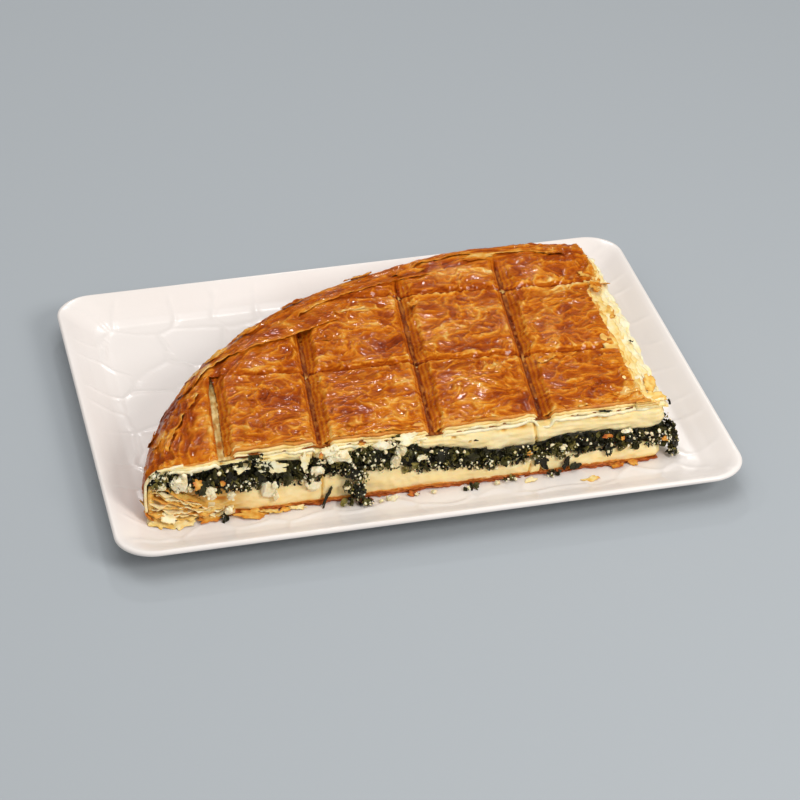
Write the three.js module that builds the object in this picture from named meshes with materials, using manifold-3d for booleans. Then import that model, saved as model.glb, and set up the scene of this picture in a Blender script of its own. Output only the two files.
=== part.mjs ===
// A large cut portion of a round spanakopita (Greek spinach and feta pie) on its rectangular serving plate.
//
// The portion comes from a big round pie. Two straight cuts leave a front face and a right face, and the
// rest of its outline is the round rim. From the bottom up it is a soft lower pastry, the spinach and feta
// filling, a soft upper pastry, and a crisp top crust, scored into squares, that wraps down round the rim.
//
// Units are millimetres and +Z is up. The origin is on the table, under the middle of the plate: +X runs
// along the plate's long side to the viewer's right, and +Y runs away from the viewer.

import * as THREE from "three";
import { mergeVertices } from "three/addons/utils/BufferGeometryUtils.js";
import Module from "manifold-3d";

// ---- Driving dimensions -------------------------------------------------------------------------------

const plate = {
  length: 360,
  depth: 283,
  height: 18,
  cornerRadius: 22,
  cornerTightening: 0.35, // how much smaller a ring's corner radius gets for each millimetre inwards
  cornerSteps: 8,
  rimThickness: 3.2,
  slopeWidth: 30,
  wellDepth: 10.8,
  floorThickness: 4.6,
  footInset: 44,
  footWidth: 4,
};

const pie = {
  radius: 250,
  centreX: 85,
  centreY: -146.4,
  frontCutY: -99.4,
  rightCutX: 146,
  crustThickness: 5,
  shoulder: 26, // how far in from the rim the top starts to round over
  roundSegments: 120,
};

// Heights of the layer boundaries above the plate's well. The filling is deep at the left, and the soft
// pastries are deep at the right.
const layers = {
  bottom: 0.4,
  tipLift: { height: 1.8, fromX: -140, toX: -160 }, // the left tip rides a little way up the plate's slope
  fillingUnder: { left: 16.5, right: 11 },
  fillingTop: { left: 30, right: 21.5 },
  crustUnder: { left: 33.8, right: 34.4 },
  change: { fromX: -40, toX: 50 },
  swell: 0.7,
};

// Score lines in the crust, along a grid that is turned a little from the cuts. Columns and rows are
// distances from the pie's centre.
const score = {
  turn: THREE.MathUtils.degToRad(-5.5),
  columns: [-204, -149, -85, -22],
  rows: [113, 189],
  halfWidth: 2.6,
  bank: 6, // how far from a score line the crown starts
  crownWidth: 20,
  floorHeight: 1.1, // crust left under a score line
  tileHeight: 5.6,
  tileCrown: 1.6,
};

// How far each layer's cut faces lie behind the two cuts. At the right, the inset changes from the front to
// the back.
const cuts = {
  lower: { front: 0, rightNear: 7, rightFar: 1, wave: 0.7, phase: 1 },
  filling: { front: 0.6, rightNear: 2, rightFar: 0.5, wave: 1.1, phase: 3 },
  upper: { front: 1, rightNear: 5, rightFar: 0, wave: 0.8, phase: 5 },
  crust: { front: 4.5, rightNear: 16, rightFar: 4, wave: 0.9, phase: 2 },
  changeFromY: 5,
  changeToY: 60,
  steps: 30,
};

const gap = 0.3; // clearance between touching pieces
const layerGrid = { columns: 24, rows: 18, depth: 5 };
const longestCrustStep = 16;

const wellZ = plate.height - plate.wellDepth;
const crustTop = layers.crustUnder.right + score.tileHeight + score.tileCrown;

const wasm = await Module();
wasm.setup();

// ---- Helpers ------------------------------------------------------------------------------------------

const mix = THREE.MathUtils.lerp;
const ease = THREE.MathUtils.smoothstep;

function solidFrom(geometry) {
  const bare = geometry.clone();
  bare.deleteAttribute("normal");
  bare.deleteAttribute("uv");
  const merged = mergeVertices(bare, 1e-4);
  return new wasm.Manifold(
    new wasm.Mesh({
      numProp: 3,
      vertProperties: new Float32Array(merged.attributes.position.array),
      triVerts: new Uint32Array(merged.index.array),
    }),
  );
}

function geometryFrom(solid) {
  const mesh = solid.getMesh();
  return new THREE.BufferGeometry()
    .setAttribute("position", new THREE.BufferAttribute(mesh.vertProperties, 3))
    .setIndex(new THREE.BufferAttribute(mesh.triVerts, 1));
}

// Moves each vertex of a geometry: place(vertex, index) changes the vertex that it is given.
function reshape(geometry, place) {
  const position = geometry.attributes.position;
  const vertex = new THREE.Vector3();
  for (let i = 0; i < position.count; i += 1) {
    place(vertex.fromBufferAttribute(position, i), i);
    position.setXYZ(i, vertex.x, vertex.y, vertex.z);
  }
  return geometry;
}

// ---- Plate --------------------------------------------------------------------------------------------

// The plate's section as [distance in from the rim, height]: from the middle of the underside, round the
// foot and the rim, to the middle of the well.
function plateSection() {
  const { height, rimThickness, slopeWidth, footInset, footWidth } = plate;
  const underside = wellZ - plate.floorThickness;
  const rimUnder = height - rimThickness;
  const slopeAt = (share, rise) => [share * slopeWidth, mix(wellZ, height, rise)];
  return [
    [Infinity, underside],
    [footInset + footWidth, underside],
    [footInset + footWidth - 1, 0],
    [footInset, 0],
    [footInset - 3, underside],
    [slopeWidth, underside + 1],
    [12, rimUnder - 2.6],
    [1, rimUnder],
    [0, rimUnder + rimThickness / 2],
    [0.5, height - 0.5],
    [1.8, height],
    slopeAt(0.15, 0.91),
    slopeAt(0.43, 0.46),
    slopeAt(0.67, 0.16),
    slopeAt(0.9, 0.02),
    slopeAt(1.15, 0),
    [Infinity, wellZ],
  ];
}

// The section is turned as for a round dish. Each quarter of every ring is then set round its own corner,
// so that the step from one quarter to the next becomes a straight side.
function plateGeometry() {
  const section = plateSection();
  const perCorner = plate.cornerSteps + 1;
  const points = section.map(([inset, height]) => new THREE.Vector2(inset === Infinity ? 0 : 1, height));
  const dish = new THREE.LatheGeometry(points, 4 * perCorner);
  return reshape(dish, (vertex, index) => {
    const [inset, height] = section[index % section.length];
    if (inset === Infinity) {
      vertex.set(0, 0, height);
      return;
    }
    const column = Math.floor(index / section.length) % (4 * perCorner);
    const corner = Math.floor(column / perCorner);
    const angle = ((corner + (column % perCorner) / plate.cornerSteps) * Math.PI) / 2;
    const round = plate.cornerRadius - plate.cornerTightening * inset;
    const sideX = corner === 0 || corner === 3 ? 1 : -1;
    const sideY = corner < 2 ? 1 : -1;
    vertex.set(
      sideX * (plate.length / 2 - inset - round) + round * Math.cos(angle),
      sideY * (plate.depth / 2 - inset - round) + round * Math.sin(angle),
      height,
    );
  });
}

// ---- Heights ------------------------------------------------------------------------------------------

const swell = (x, y) => layers.swell * (Math.sin(x / 21 + y / 34) + Math.sin(y / 17 - x / 43));

// A layer boundary that runs from its left height to its right height. The phase shifts its swell.
function boundary({ left, right }, phase) {
  const { fromX, toX } = layers.change;
  return (x, y) => wellZ + mix(left, right, ease(x, fromX, toX)) + swell(x + phase, y - phase);
}

const fillingUnderAt = boundary(layers.fillingUnder, 0);
const fillingTopAt = boundary(layers.fillingTop, 40);
const crustUnderAt = boundary(layers.crustUnder, 90);

function bottomAt(x) {
  const { height, fromX, toX } = layers.tipLift;
  return wellZ + layers.bottom + height * (1 - ease(x, toX, fromX));
}

// The score lines' own frame: distances along and across the grid, measured from the pie's centre.
const gridFrame = new THREE.Matrix4().makeRotationZ(score.turn).setPosition(pie.centreX, pie.centreY, 0);
const toGrid = gridFrame.clone().invert();

function distanceToScore(x, y) {
  const onGrid = new THREE.Vector3(x, y, 0).applyMatrix4(toGrid);
  const toColumns = score.columns.map((line) => Math.abs(onGrid.x - line));
  const toRows = score.rows.map((line) => Math.abs(onGrid.y - line));
  return Math.min(...toColumns, ...toRows);
}

// The crust's top: a low crown on each tile, falling to a thin floor along each score line.
function crustTopAt(x, y) {
  const away = distanceToScore(x, y);
  const bank = ease(away, 0, score.halfWidth);
  const crown = score.tileCrown * ease(away, score.halfWidth, score.bank + score.crownWidth);
  return crustUnderAt(x, y) + mix(score.floorHeight, score.tileHeight, bank) + crown;
}

// ---- Cutting shapes -----------------------------------------------------------------------------------

// The round pie, turned about its own centre, from [distance in from the rim, height above the well].
function roundPie(profile) {
  const points = profile.map(
    ([inset, height]) => new THREE.Vector2(inset === Infinity ? 0 : pie.radius - inset, wellZ + height),
  );
  const turned = new THREE.LatheGeometry(points, pie.roundSegments).rotateX(Math.PI / 2);
  return solidFrom(turned.translate(pie.centreX, pie.centreY, 0));
}

// The region behind the two cuts, as a tall prism whose faces wander by a wave.
function cutPrism({ front, rightNear, rightFar, wave, phase }) {
  const left = -plate.length / 2;
  const back = plate.depth / 2;
  const wander = (along) => wave * (Math.sin(along / 13 + phase) + Math.sin(along / 31 - 2 * phase));
  const frontY = (x) => pie.frontCutY + front + wander(x);
  const rightX = (y) =>
    pie.rightCutX - mix(rightNear, rightFar, ease(y, cuts.changeFromY, cuts.changeToY)) + wander(y);
  const corner = new THREE.Vector2(rightX(pie.frontCutY), pie.frontCutY + front);
  const outline = [new THREE.Vector2(left, back)];
  for (let i = 0; i < cuts.steps; i += 1) {
    const x = mix(left, corner.x, i / cuts.steps);
    outline.push(new THREE.Vector2(x, frontY(x)));
  }
  for (let i = 0; i <= cuts.steps; i += 1) {
    const y = mix(corner.y, back, i / cuts.steps);
    outline.push(new THREE.Vector2(rightX(y), y));
  }
  const depth = 3 * crustTop;
  const prism = new THREE.ExtrudeGeometry(new THREE.Shape(outline), { depth, bevelEnabled: false });
  return solidFrom(prism.translate(0, 0, -crustTop));
}

// Everything over the plate's rectangle from below the table up to a height function. All such solids share
// one grid, so two boundaries a gap apart stay that far apart everywhere.
function upTo(heightAt) {
  const block = new THREE.BoxGeometry(plate.length, plate.depth, 2, layerGrid.columns, layerGrid.rows, 1);
  return solidFrom(
    reshape(block, (vertex) => {
      vertex.z = vertex.z > 0 ? heightAt(vertex.x, vertex.y) : -layerGrid.depth;
    }),
  );
}

// Grid lines that close in on the score lines, so that a coarse block can carry narrow grooves.
function linesAround(scoreLines, start, end) {
  const marks = scoreLines.flatMap((line) =>
    [-score.bank, -score.halfWidth, 0, score.halfWidth, score.bank].map((offset) => line + offset),
  );
  const stops = [start, ...marks, end];
  return stops.flatMap((stop, i) => {
    if (i === 0) return [stop];
    const parts = Math.max(1, Math.round((stop - stops[i - 1]) / longestCrustStep));
    return Array.from({ length: parts }, (_, k) => mix(stops[i - 1], stop, (k + 1) / parts));
  });
}

// The block that the top crust is cut from: its top carries the scored tiles, and its underside is level.
function crustBlock() {
  const margin = 12;
  const reach = pie.radius + margin;
  const frontReach = pie.frontCutY - pie.centreY - 2 * margin;
  const rightReach = pie.rightCutX - pie.centreX + 2 * margin;
  const columns = linesAround(score.columns, -reach, rightReach);
  const rows = linesAround(score.rows, frontReach, reach);
  const block = new THREE.BoxGeometry(1, 1, 2, columns.length - 1, rows.length - 1, 1);
  return solidFrom(
    reshape(block, (vertex) => {
      const column = Math.round((vertex.x + 0.5) * (columns.length - 1));
      const row = Math.round((vertex.y + 0.5) * (rows.length - 1));
      const isTop = vertex.z > 0;
      vertex.set(columns[column], rows[row], 0).applyMatrix4(gridFrame);
      vertex.z = isTop ? crustTopAt(vertex.x, vertex.y) : wellZ;
    }),
  );
}

// ---- Pie layers ---------------------------------------------------------------------------------------

const skirt = { bottom: 2.3, bulgeAt: 9, wallTop: crustTop - 14 };

// The space inside the crust's skirt. Its foot spreads out under the skirt, as the browned base does.
const insideWall = roundPie([
  [Infinity, layers.bottom],
  [1.5, layers.bottom],
  [0.6, skirt.bottom - 0.7],
  [pie.crustThickness + gap, skirt.bottom - gap],
  [pie.crustThickness + gap, skirt.wallTop],
  [pie.crustThickness + gap + 4, crustTop - 7.5],
  [pie.shoulder, crustTop - 4.6],
  [Infinity, crustTop + 8],
]);

const outsideWall = roundPie([
  [Infinity, skirt.bottom],
  [1.2, skirt.bottom],
  [0, skirt.bulgeAt],
  [0.6, skirt.wallTop],
  [3.6, crustTop - 6.5],
  [10, crustTop - 1.8],
  [pie.shoulder, crustTop],
  [Infinity, crustTop + 8],
]);

// What lies under the crust and inside its skirt, down past the well.
const underLid = upTo((x, y) => crustUnderAt(x, y) + gap / 2);
const underSkirt = roundPie([
  [Infinity, -1],
  [pie.crustThickness, -1],
  [pie.crustThickness, skirt.wallTop],
  [pie.crustThickness + 4, crustTop - 7.2],
  [pie.shoulder, crustTop - 4.3],
  [Infinity, crustTop + 8],
]);

function innerLayer(underAt, topAt, cut) {
  return upTo(topAt).subtract(upTo(underAt)).intersect(insideWall).intersect(cutPrism(cut));
}

function lowerPastry() {
  const topAt = (x, y) => fillingUnderAt(x, y) - gap / 2;
  return innerLayer(bottomAt, topAt, cuts.lower);
}

function filling() {
  const underAt = (x, y) => fillingUnderAt(x, y) + gap / 2;
  const topAt = (x, y) => fillingTopAt(x, y) - gap / 2;
  return innerLayer(underAt, topAt, cuts.filling);
}

function upperPastry() {
  const underAt = (x, y) => fillingTopAt(x, y) + gap / 2;
  const topAt = (x, y) => crustUnderAt(x, y) - gap / 2;
  return innerLayer(underAt, topAt, cuts.upper);
}

function topCrust() {
  return crustBlock()
    .intersect(outsideWall)
    .subtract(underLid.intersect(underSkirt))
    .intersect(cutPrism(cuts.crust));
}

// ---- Assembly -----------------------------------------------------------------------------------------

const finishes = {
  glaze: { color: 0xf0e8e1, roughness: 0.25, metalness: 0 },
  crust: { color: 0xc07a2c, roughness: 0.4, metalness: 0 },
  upper: { color: 0xf2dba4, roughness: 0.6, metalness: 0 },
  lower: { color: 0xe3c78e, roughness: 0.6, metalness: 0 },
  spinach: { color: 0x2e3318, roughness: 0.55, metalness: 0 },
};

function namedMesh(name, finish, geometry) {
  const mesh = new THREE.Mesh(geometry, new THREE.MeshStandardMaterial(finishes[finish]));
  mesh.name = name;
  return mesh;
}

const model = new THREE.Group();
model.add(
  namedMesh("plate", "glaze", plateGeometry()),
  namedMesh("lower_pastry", "lower", geometryFrom(lowerPastry())),
  namedMesh("spinach_feta_filling", "spinach", geometryFrom(filling())),
  namedMesh("upper_pastry", "upper", geometryFrom(upperPastry())),
  namedMesh("top_crust", "crust", geometryFrom(topCrust())),
);

export default model;
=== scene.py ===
# %% [markdown]
# # A cut spanakopita on its plate
# A spanakopita is a Greek pie of spinach and feta between filo sheets. The real one here is a large cut
# portion of a round pie. Its looks come from thin things: a crust of paper-thin sheets that wrinkle and
# brown, torn sheet edges, soft pastry at the cuts, and a dark filling of chopped leaves and white crumbs.
# The solid model gives every size and place. This script makes the visible surfaces round it, one kind of
# piece at a time.

import math

import bmesh
import bpy
import numpy as np
from mathutils import Euler, Matrix, Vector


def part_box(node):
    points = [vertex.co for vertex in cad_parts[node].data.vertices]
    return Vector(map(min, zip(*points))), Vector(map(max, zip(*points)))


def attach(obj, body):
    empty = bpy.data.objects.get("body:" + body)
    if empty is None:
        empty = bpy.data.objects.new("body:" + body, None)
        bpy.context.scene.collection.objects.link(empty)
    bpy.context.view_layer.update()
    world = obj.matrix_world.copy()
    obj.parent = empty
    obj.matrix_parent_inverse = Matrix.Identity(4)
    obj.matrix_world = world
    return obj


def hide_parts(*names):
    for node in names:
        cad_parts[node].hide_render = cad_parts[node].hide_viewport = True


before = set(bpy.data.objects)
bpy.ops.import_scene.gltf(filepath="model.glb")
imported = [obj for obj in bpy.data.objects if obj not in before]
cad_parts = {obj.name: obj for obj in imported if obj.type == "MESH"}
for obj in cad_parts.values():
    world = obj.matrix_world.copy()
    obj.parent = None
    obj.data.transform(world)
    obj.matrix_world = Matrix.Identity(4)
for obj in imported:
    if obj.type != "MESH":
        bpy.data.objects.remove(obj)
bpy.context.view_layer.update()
MM = 0.001  # the script thinks in millimetres, Blender in metres


def node_box(node):
    """The lowest and highest corner of a solid, in millimetres."""
    low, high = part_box(node)
    return np.array(low) / MM, np.array(high) / MM


for node in sorted(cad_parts):
    low, high = node_box(node)
    print(f"{node}: from {np.round(low, 1)} to {np.round(high, 1)} mm")

# %% [markdown]
# ## Sizes of the pie
# The pie's round rim is part of a big circle, and two straight cuts leave the front and the right face.
# A few numbers describe all of it: the circle, the two cuts, and the lines along which the crust was scored
# into squares before baking. The score lines run on a grid that is turned a little from the cuts.

# %% The pie's driving sizes
WELL = 7.2  # the plate's inner floor
CENTRE = np.array([85.0, -146.4])  # of the round pie
RADIUS = 250.0
SHOULDER = 26.0  # where the crust starts to round over, in from the rim
FRONT = -99.4  # the two straight cuts
RIGHT = 146.0
GRID_TURN = math.radians(-5.5)
COLUMNS = [-204.0, -149.0, -85.0, -22.0]
ROWS = [113.0, 189.0]
TILE_TOP = 5.6  # of a crust square, over the soft pastry
HIGHEST = node_box("top_crust")[1][2] - 0.15  # the visible crust stays just under the solid one's top
print(f"the crust may reach {HIGHEST:.2f} mm")

# %% [markdown]
# ## Repeatable noise
# Food has no straight line, so every surface here is moved by noise. Blender has noise textures, but shapes
# that depend on each other, such as a wrinkle and the browning on its crest, are easier to work out
# together as arrays. This gradient noise is the classic kind: each lattice point has a random slope, and
# the slopes are blended in between. The same seed gives the same pie on every run.

# %% Noise on arrays


def hashed(ix, iy, seed):
    """A repeatable random number from 0 to 1 for each lattice point."""
    mixed = ix.astype(np.int64) * 374761393 + iy.astype(np.int64) * 668265263 + seed * 974634777
    mixed &= 0xFFFFFFFF
    mixed = ((mixed ^ (mixed >> 13)) * 1274126177) & 0xFFFFFFFF
    return ((mixed ^ (mixed >> 16)) & 0xFFFFFFFF) / 2.0**32


def ease(low, high, value):
    """0 below low, 1 above high, and a smooth rise in between."""
    share = np.clip((value - low) / (high - low), 0, 1)
    return share * share * (3 - 2 * share)


def noise(x, y, seed):
    """Smooth noise from about -1 to 1, with features about one unit apart."""
    x, y = np.broadcast_arrays(np.asarray(x, float), np.asarray(y, float))
    ix, iy = np.floor(x), np.floor(y)
    fx, fy = x - ix, y - iy

    def corner(dx, dy):
        turn = 2 * math.pi * hashed(ix + dx, iy + dy, seed)
        return np.cos(turn) * (fx - dx) + np.sin(turn) * (fy - dy)

    sx, sy = ease(0, 1, fx), ease(0, 1, fy)
    near = corner(0, 0) * (1 - sx) + corner(1, 0) * sx
    far = corner(0, 1) * (1 - sx) + corner(1, 1) * sx
    return 1.5 * (near * (1 - sy) + far * sy)


def fractal(x, y, seed, octaves=3):
    """Noise with finer and weaker noise on top of it."""
    total, weight = 0.0, 0.0
    for octave in range(octaves):
        scale, share = 2.0**octave, 0.5**octave
        total = total + share * noise(x * scale + 17.3 * octave, y * scale - 9.1 * octave, seed + octave)
        weight += share
    return total / weight * 1.3


def creases(x, y, seed, sharpness=2.0):
    """Thin crests from 0 to 1 along the lines where noise crosses zero, like folds in paper."""
    return np.clip(1 - 1.6 * np.abs(noise(x, y, seed)), 0, 1) ** sharpness


def blisters(x, y, seed, chance):
    """Round bumps from 0 to 1, one in some of the unit cells."""
    best = np.zeros_like(x)
    ix, iy = np.floor(x), np.floor(y)
    for dx in (-1, 0, 1):
        for dy in (-1, 0, 1):
            cx, cy = ix + dx, iy + dy
            px = cx + 0.2 + 0.6 * hashed(cx, cy, seed)
            py = cy + 0.2 + 0.6 * hashed(cx, cy, seed + 1)
            size = 0.25 + 0.35 * hashed(cx, cy, seed + 2)
            present = hashed(cx, cy, seed + 3) < chance
            away = np.hypot(x - px, y - py) / size
            best = np.maximum(best, present * np.sqrt(np.clip(1 - away**2, 0, 1)))
    return best


# %% [markdown]
# ## From arrays to pieces
# A mesh of a hundred thousand faces is slow to build face by face. foreach_set hands whole arrays to
# Blender at once. Each piece can also carry named numbers on its points, such as how brown the crust is
# there, and the materials read those numbers.

# %% Make meshes from arrays


def new_piece(name, points, faces, material, **values):
    """A mesh object from points in mm, equal-sided faces, and named numbers on its points."""
    mesh = bpy.data.meshes.new(name)
    corners = faces.shape[1]
    mesh.vertices.add(len(points))
    mesh.vertices.foreach_set("co", (np.asarray(points, float) * MM).ravel())
    mesh.loops.add(faces.size)
    mesh.loops.foreach_set("vertex_index", faces.astype(np.int32).ravel())
    mesh.polygons.add(len(faces))
    mesh.polygons.foreach_set("loop_start", np.arange(0, faces.size, corners, dtype=np.int32))
    mesh.polygons.foreach_set("use_smooth", np.ones(len(faces), bool))
    mesh.update(calc_edges=True)
    for key, numbers in values.items():
        stored = mesh.attributes.new(key, "FLOAT", "POINT")
        stored.data.foreach_set("value", np.asarray(numbers, np.float32).ravel())
    mesh.materials.append(material)
    piece = bpy.data.objects.new(name, mesh)
    bpy.context.scene.collection.objects.link(piece)
    return piece


def grid_faces(rows, columns, wrap=False):
    """Quads over a grid of points that is stored row by row; wrap joins the last column to the first."""
    across = columns if wrap else columns - 1
    row, column = np.meshgrid(np.arange(rows - 1), np.arange(across), indexing="ij")
    start = row * columns
    here, right = start + column, start + (column + 1) % columns
    return np.stack([here, right, right + columns, here + columns], -1).reshape(-1, 4)


def keep_faces(points, faces, wanted, **values):
    """Only the wanted faces, and the points and numbers that they use."""
    faces = faces[wanted]
    used = np.unique(faces)
    renumbered = np.zeros(len(points), int)
    renumbered[used] = np.arange(len(used))
    return points[used], renumbered[faces], {key: numbers[used] for key, numbers in values.items()}


def settle(piece, node=None):
    """Finish a piece: it rides with the plate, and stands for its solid."""
    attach(piece, "root")
    if node:
        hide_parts(node)
    triangles = sum(len(face.vertices) - 2 for face in piece.data.polygons)
    print(f"{piece.name}: {triangles} triangles before modifiers")
    return piece


# %% [markdown]
# ## Building materials in code
# All materials are procedural. A small helper adds a node and sets its inputs, so that each material
# reads as a short list of steps: a pattern, a colour ramp, a bump, and the shader.

# %% Material helpers


class Surface:
    """A material's node tree with a Principled shader, built step by step."""

    def __init__(self, name, **shader):
        self.material = bpy.data.materials.new(name)
        self.material.use_nodes = True
        self.tree = self.material.node_tree
        self.shader = self.tree.nodes["Principled BSDF"]
        for socket, value in shader.items():
            self.shader.inputs[socket.replace("_", " ")].default_value = value
        self.place = self.add("ShaderNodeTexCoord").outputs["Object"]

    def add(self, kind, **inputs):
        node = self.tree.nodes.new(kind)
        for key, value in inputs.items():
            self.feed(node.inputs[key.replace("_", " ")], value)
        return node

    def feed(self, socket, value):
        if isinstance(value, bpy.types.NodeSocket):
            self.tree.links.new(value, socket)
        else:
            socket.default_value = value

    def stored(self, name):
        """A number that the mesh carries on its points."""
        node = self.tree.nodes.new("ShaderNodeAttribute")
        node.attribute_name = name
        return node.outputs["Fac"]

    def noise(self, scale, detail=3.0, stretch=None):
        place = self.place
        if stretch:
            mapping = self.add("ShaderNodeMapping", Vector=self.place)
            mapping.inputs["Scale"].default_value = stretch
            place = mapping.outputs["Vector"]
        return self.add("ShaderNodeTexNoise", Vector=place, Scale=scale, Detail=detail).outputs["Fac"]

    def ridges(self, scale):
        """Noise with sharp crests, like creased foil."""
        node = self.add("ShaderNodeTexNoise", Vector=self.place, Distortion=0.6)
        node.noise_type = "RIDGED_MULTIFRACTAL"
        node.inputs["Scale"].default_value = scale
        node.inputs["Detail"].default_value = 3.0
        return node.outputs["Fac"]

    def math(self, operation, first, second=0.0, third=0.0):
        node = self.tree.nodes.new("ShaderNodeMath")
        node.operation = operation
        for socket, value in zip(node.inputs, (first, second, third)):
            self.feed(socket, value)
        return node.outputs[0]

    def ramp(self, factor, *stops):
        """A colour ramp. Each stop is (position, colour as 0-255 numbers seen on screen)."""
        node = self.add("ShaderNodeValToRGB", Fac=factor)
        band = node.color_ramp
        while len(band.elements) < len(stops):
            band.elements.new(1.0)
        for element, (position, colour) in zip(band.elements, stops):
            element.position = position
            element.color = screen(*colour)
        return node.outputs["Color"]

    def bump(self, height, strength, distance):
        node = self.add("ShaderNodeBump", Height=height, Strength=strength, Distance=distance)
        self.tree.links.new(node.outputs["Normal"], self.shader.inputs["Normal"])

    def colour(self, value):
        self.feed(self.shader.inputs["Base Color"], value)
        return self.material


def screen(red, green, blue):
    """A colour as seen on screen, turned into the linear light that shaders work in."""
    values = np.array([red, green, blue]) / 255
    linear = np.where(values <= 0.04045, values / 12.92, ((values + 0.055) / 1.055) ** 2.4)
    return (*linear, 1.0)


# %% [markdown]
# ## Camera, floor and light
# The pie is seen from a little left of its front and from above, with a long lens that hardly narrows the
# far side. The light is that of a small studio: one large soft source at the right in front, a wide one
# overhead, two small ones behind for glints on the butter, and an even glow all round. A plain pale floor
# catches the soft shadow.

# %% Camera
camera_data = bpy.data.cameras.new("camera")
camera_data.lens = 135.53
camera_data.sensor_width = 36.0
camera = bpy.data.objects.new("camera", camera_data)
camera_right = Vector((0.97497, -0.22231, -0.0044))
camera_up = Vector((0.1235, 0.52494, 0.84213))
camera_back = camera_right.cross(camera_up).normalized()
turn = Matrix((camera_right, camera_up, camera_back)).transposed().to_4x4()
camera.matrix_world = Matrix.Translation(Vector((-322.9, -1470.9, 969.4)) * MM) @ turn
bpy.context.scene.collection.objects.link(camera)
bpy.context.scene.camera = camera
print("camera stands at", tuple(round(c, 3) for c in camera.location))

# %% Floor
floor_surface = Surface("floor_paint", Roughness=0.9)
floor_surface.colour(screen(169, 175, 180))
bpy.ops.mesh.primitive_plane_add(size=8.0)
floor = bpy.context.object
floor.name = "floor"
floor.data.materials.append(floor_surface.material)

# %% Light


def soft_light(name, place, size, watts, colour=(1, 1, 1)):
    """A square soft box that looks at the middle of the pie."""
    data = bpy.data.lights.new(name, "AREA")
    data.size = size
    data.energy = watts
    data.color = colour
    light = bpy.data.objects.new(name, data)
    light.location = place
    aim = Vector((0, 0, 0.03)) - light.location
    light.rotation_euler = aim.to_track_quat("-Z", "Y").to_euler()
    bpy.context.scene.collection.objects.link(light)
    return light


soft_light("key", Vector((0.85, -1.3, 1.1)), 0.6, 16.6, (1.0, 0.98, 0.95))
overhead = soft_light("overhead", Vector((0.0, -0.1, 1.6)), 1.3, 10.0)
overhead.visible_glossy = False  # it lights the pie, but lays no white veil over the buttered crust
soft_light("glint", Vector((0.25, 1.3, 1.25)), 0.12, 3.0)
soft_light("second_glint", Vector((-0.8, 0.9, 1.4)), 0.12, 1.2)
world = bpy.data.worlds.new("studio")
world.use_nodes = True
world.node_tree.nodes["Background"].inputs["Color"].default_value = (1.0, 0.985, 0.965, 1)
world.node_tree.nodes["Background"].inputs["Strength"].default_value = 0.48
world.cycles_visibility.glossy = False  # the even glow lights the pie, but isn't mirrored in the butter
bpy.context.scene.world = world
bpy.context.scene.view_settings.view_transform = "Standard"

# %% [markdown]
# ## The plate
# The plate is white glazed porcelain with a low relief: soft ridges wander over the well in rounded cells
# and run out square to the rim. The solid model has the plate's section but no relief, so it is rebuilt
# finer: the section is swept round the rounded rectangle, ring by ring, and the ridges are pushed up from
# it. The ridges lie where a point is equally far from two cell centres, which is how a cracked or petalled
# pattern can be made from a handful of points. A ring of centres along the slope makes the borders
# between them cross the slope squarely.

# %% The plate's section and rings
PLATE = {"length": 360.0, "depth": 283.0, "height": 18.0, "corner": 22.0, "tightening": 0.35}
SLOPE = 30.0  # how far the inner slope reaches in from the rim
# the foot ring's section as (distance in from the rim, height)
FOOT = [(49, 2.6), (48, 2.3), (47.2, 0.3), (46.6, 0.0), (44.4, 0.0), (43.8, 0.3), (42, 2.2), (40, 2.7)]
RING_STEPS = (200, 156, 16)  # points along each long side, each short side and round each corner


def section_rings():
    """Rings as (distance in from the rim, height): those under the plate and over its lip, then the top."""
    height = PLATE["height"]
    lip = [(1.6 - 1.6 * math.sin(a), height - 1.6 + 1.6 * math.cos(a)) for a in np.linspace(math.pi, 0, 9)]
    under = [(138, 2.6), (90, 2.6), *FOOT, (30, 3.6), (12, height - 5.8), (3.5, height - 3.7)]
    slope = [0.07, 0.1, 0.15] + list(np.arange(0.2, 1.2, 0.045))
    rise = np.interp(slope, [0.06, 0.15, 0.43, 0.67, 0.9, 1.15], [1, 0.91, 0.46, 0.16, 0.02, 0])
    inner = [(share * SLOPE, WELL + (height - WELL) * up) for share, up in zip(slope, rise)]
    well = [(inset, WELL) for inset in np.arange(37.5, 139, 2.0)]
    return under + lip[1:], inner + well


def ring_points(inset, count):
    """Points round the rounded rectangle that lies inset from the rim."""
    round_ = max(PLATE["corner"] - PLATE["tightening"] * inset, 1.0)
    half_x = PLATE["length"] / 2 - inset - round_
    half_y = PLATE["depth"] / 2 - inset - round_
    sides = [(half_x, -half_y, 2 * half_y, 0), (half_x, half_y, 2 * half_x, 90),
             (-half_x, half_y, 2 * half_y, 180), (-half_x, -half_y, 2 * half_x, 270)]
    outline = []
    side_steps = {0: count[1], 90: count[0], 180: count[1], 270: count[0]}
    for x, y, length, heading in sides:
        out = np.array([math.cos(math.radians(heading)), math.sin(math.radians(heading))])
        along = np.array([-out[1], out[0]])
        for step in range(side_steps[heading]):
            outline.append(np.array([x, y]) + out * round_ + along * length * step / side_steps[heading])
        end = np.array([x, y]) + along * length
        for step in range(count[2]):
            angle = math.radians(heading + 90 * step / count[2])
            out_here = np.array([math.cos(angle), math.sin(angle)])
            outline.append(end + out_here * round_)
    return np.array(outline)


# %% The relief's ridges


def relief_centres():
    """Cell centres: one ring along the slope, and a loose triangular grid over the well."""
    rng = np.random.default_rng(5)
    ring = ring_points(11.0, (11, 8, 1))
    ring = ring + rng.uniform(-4, 4, ring.shape)
    spots = []
    for row, y in enumerate(np.arange(-96, 100, 29)):
        for x in np.arange(-138 + 17 * (row % 2), 142, 34):
            spots.append((x + rng.uniform(-8, 8), y + rng.uniform(-7, 7)))
    return np.vstack([ring, spots])


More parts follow.
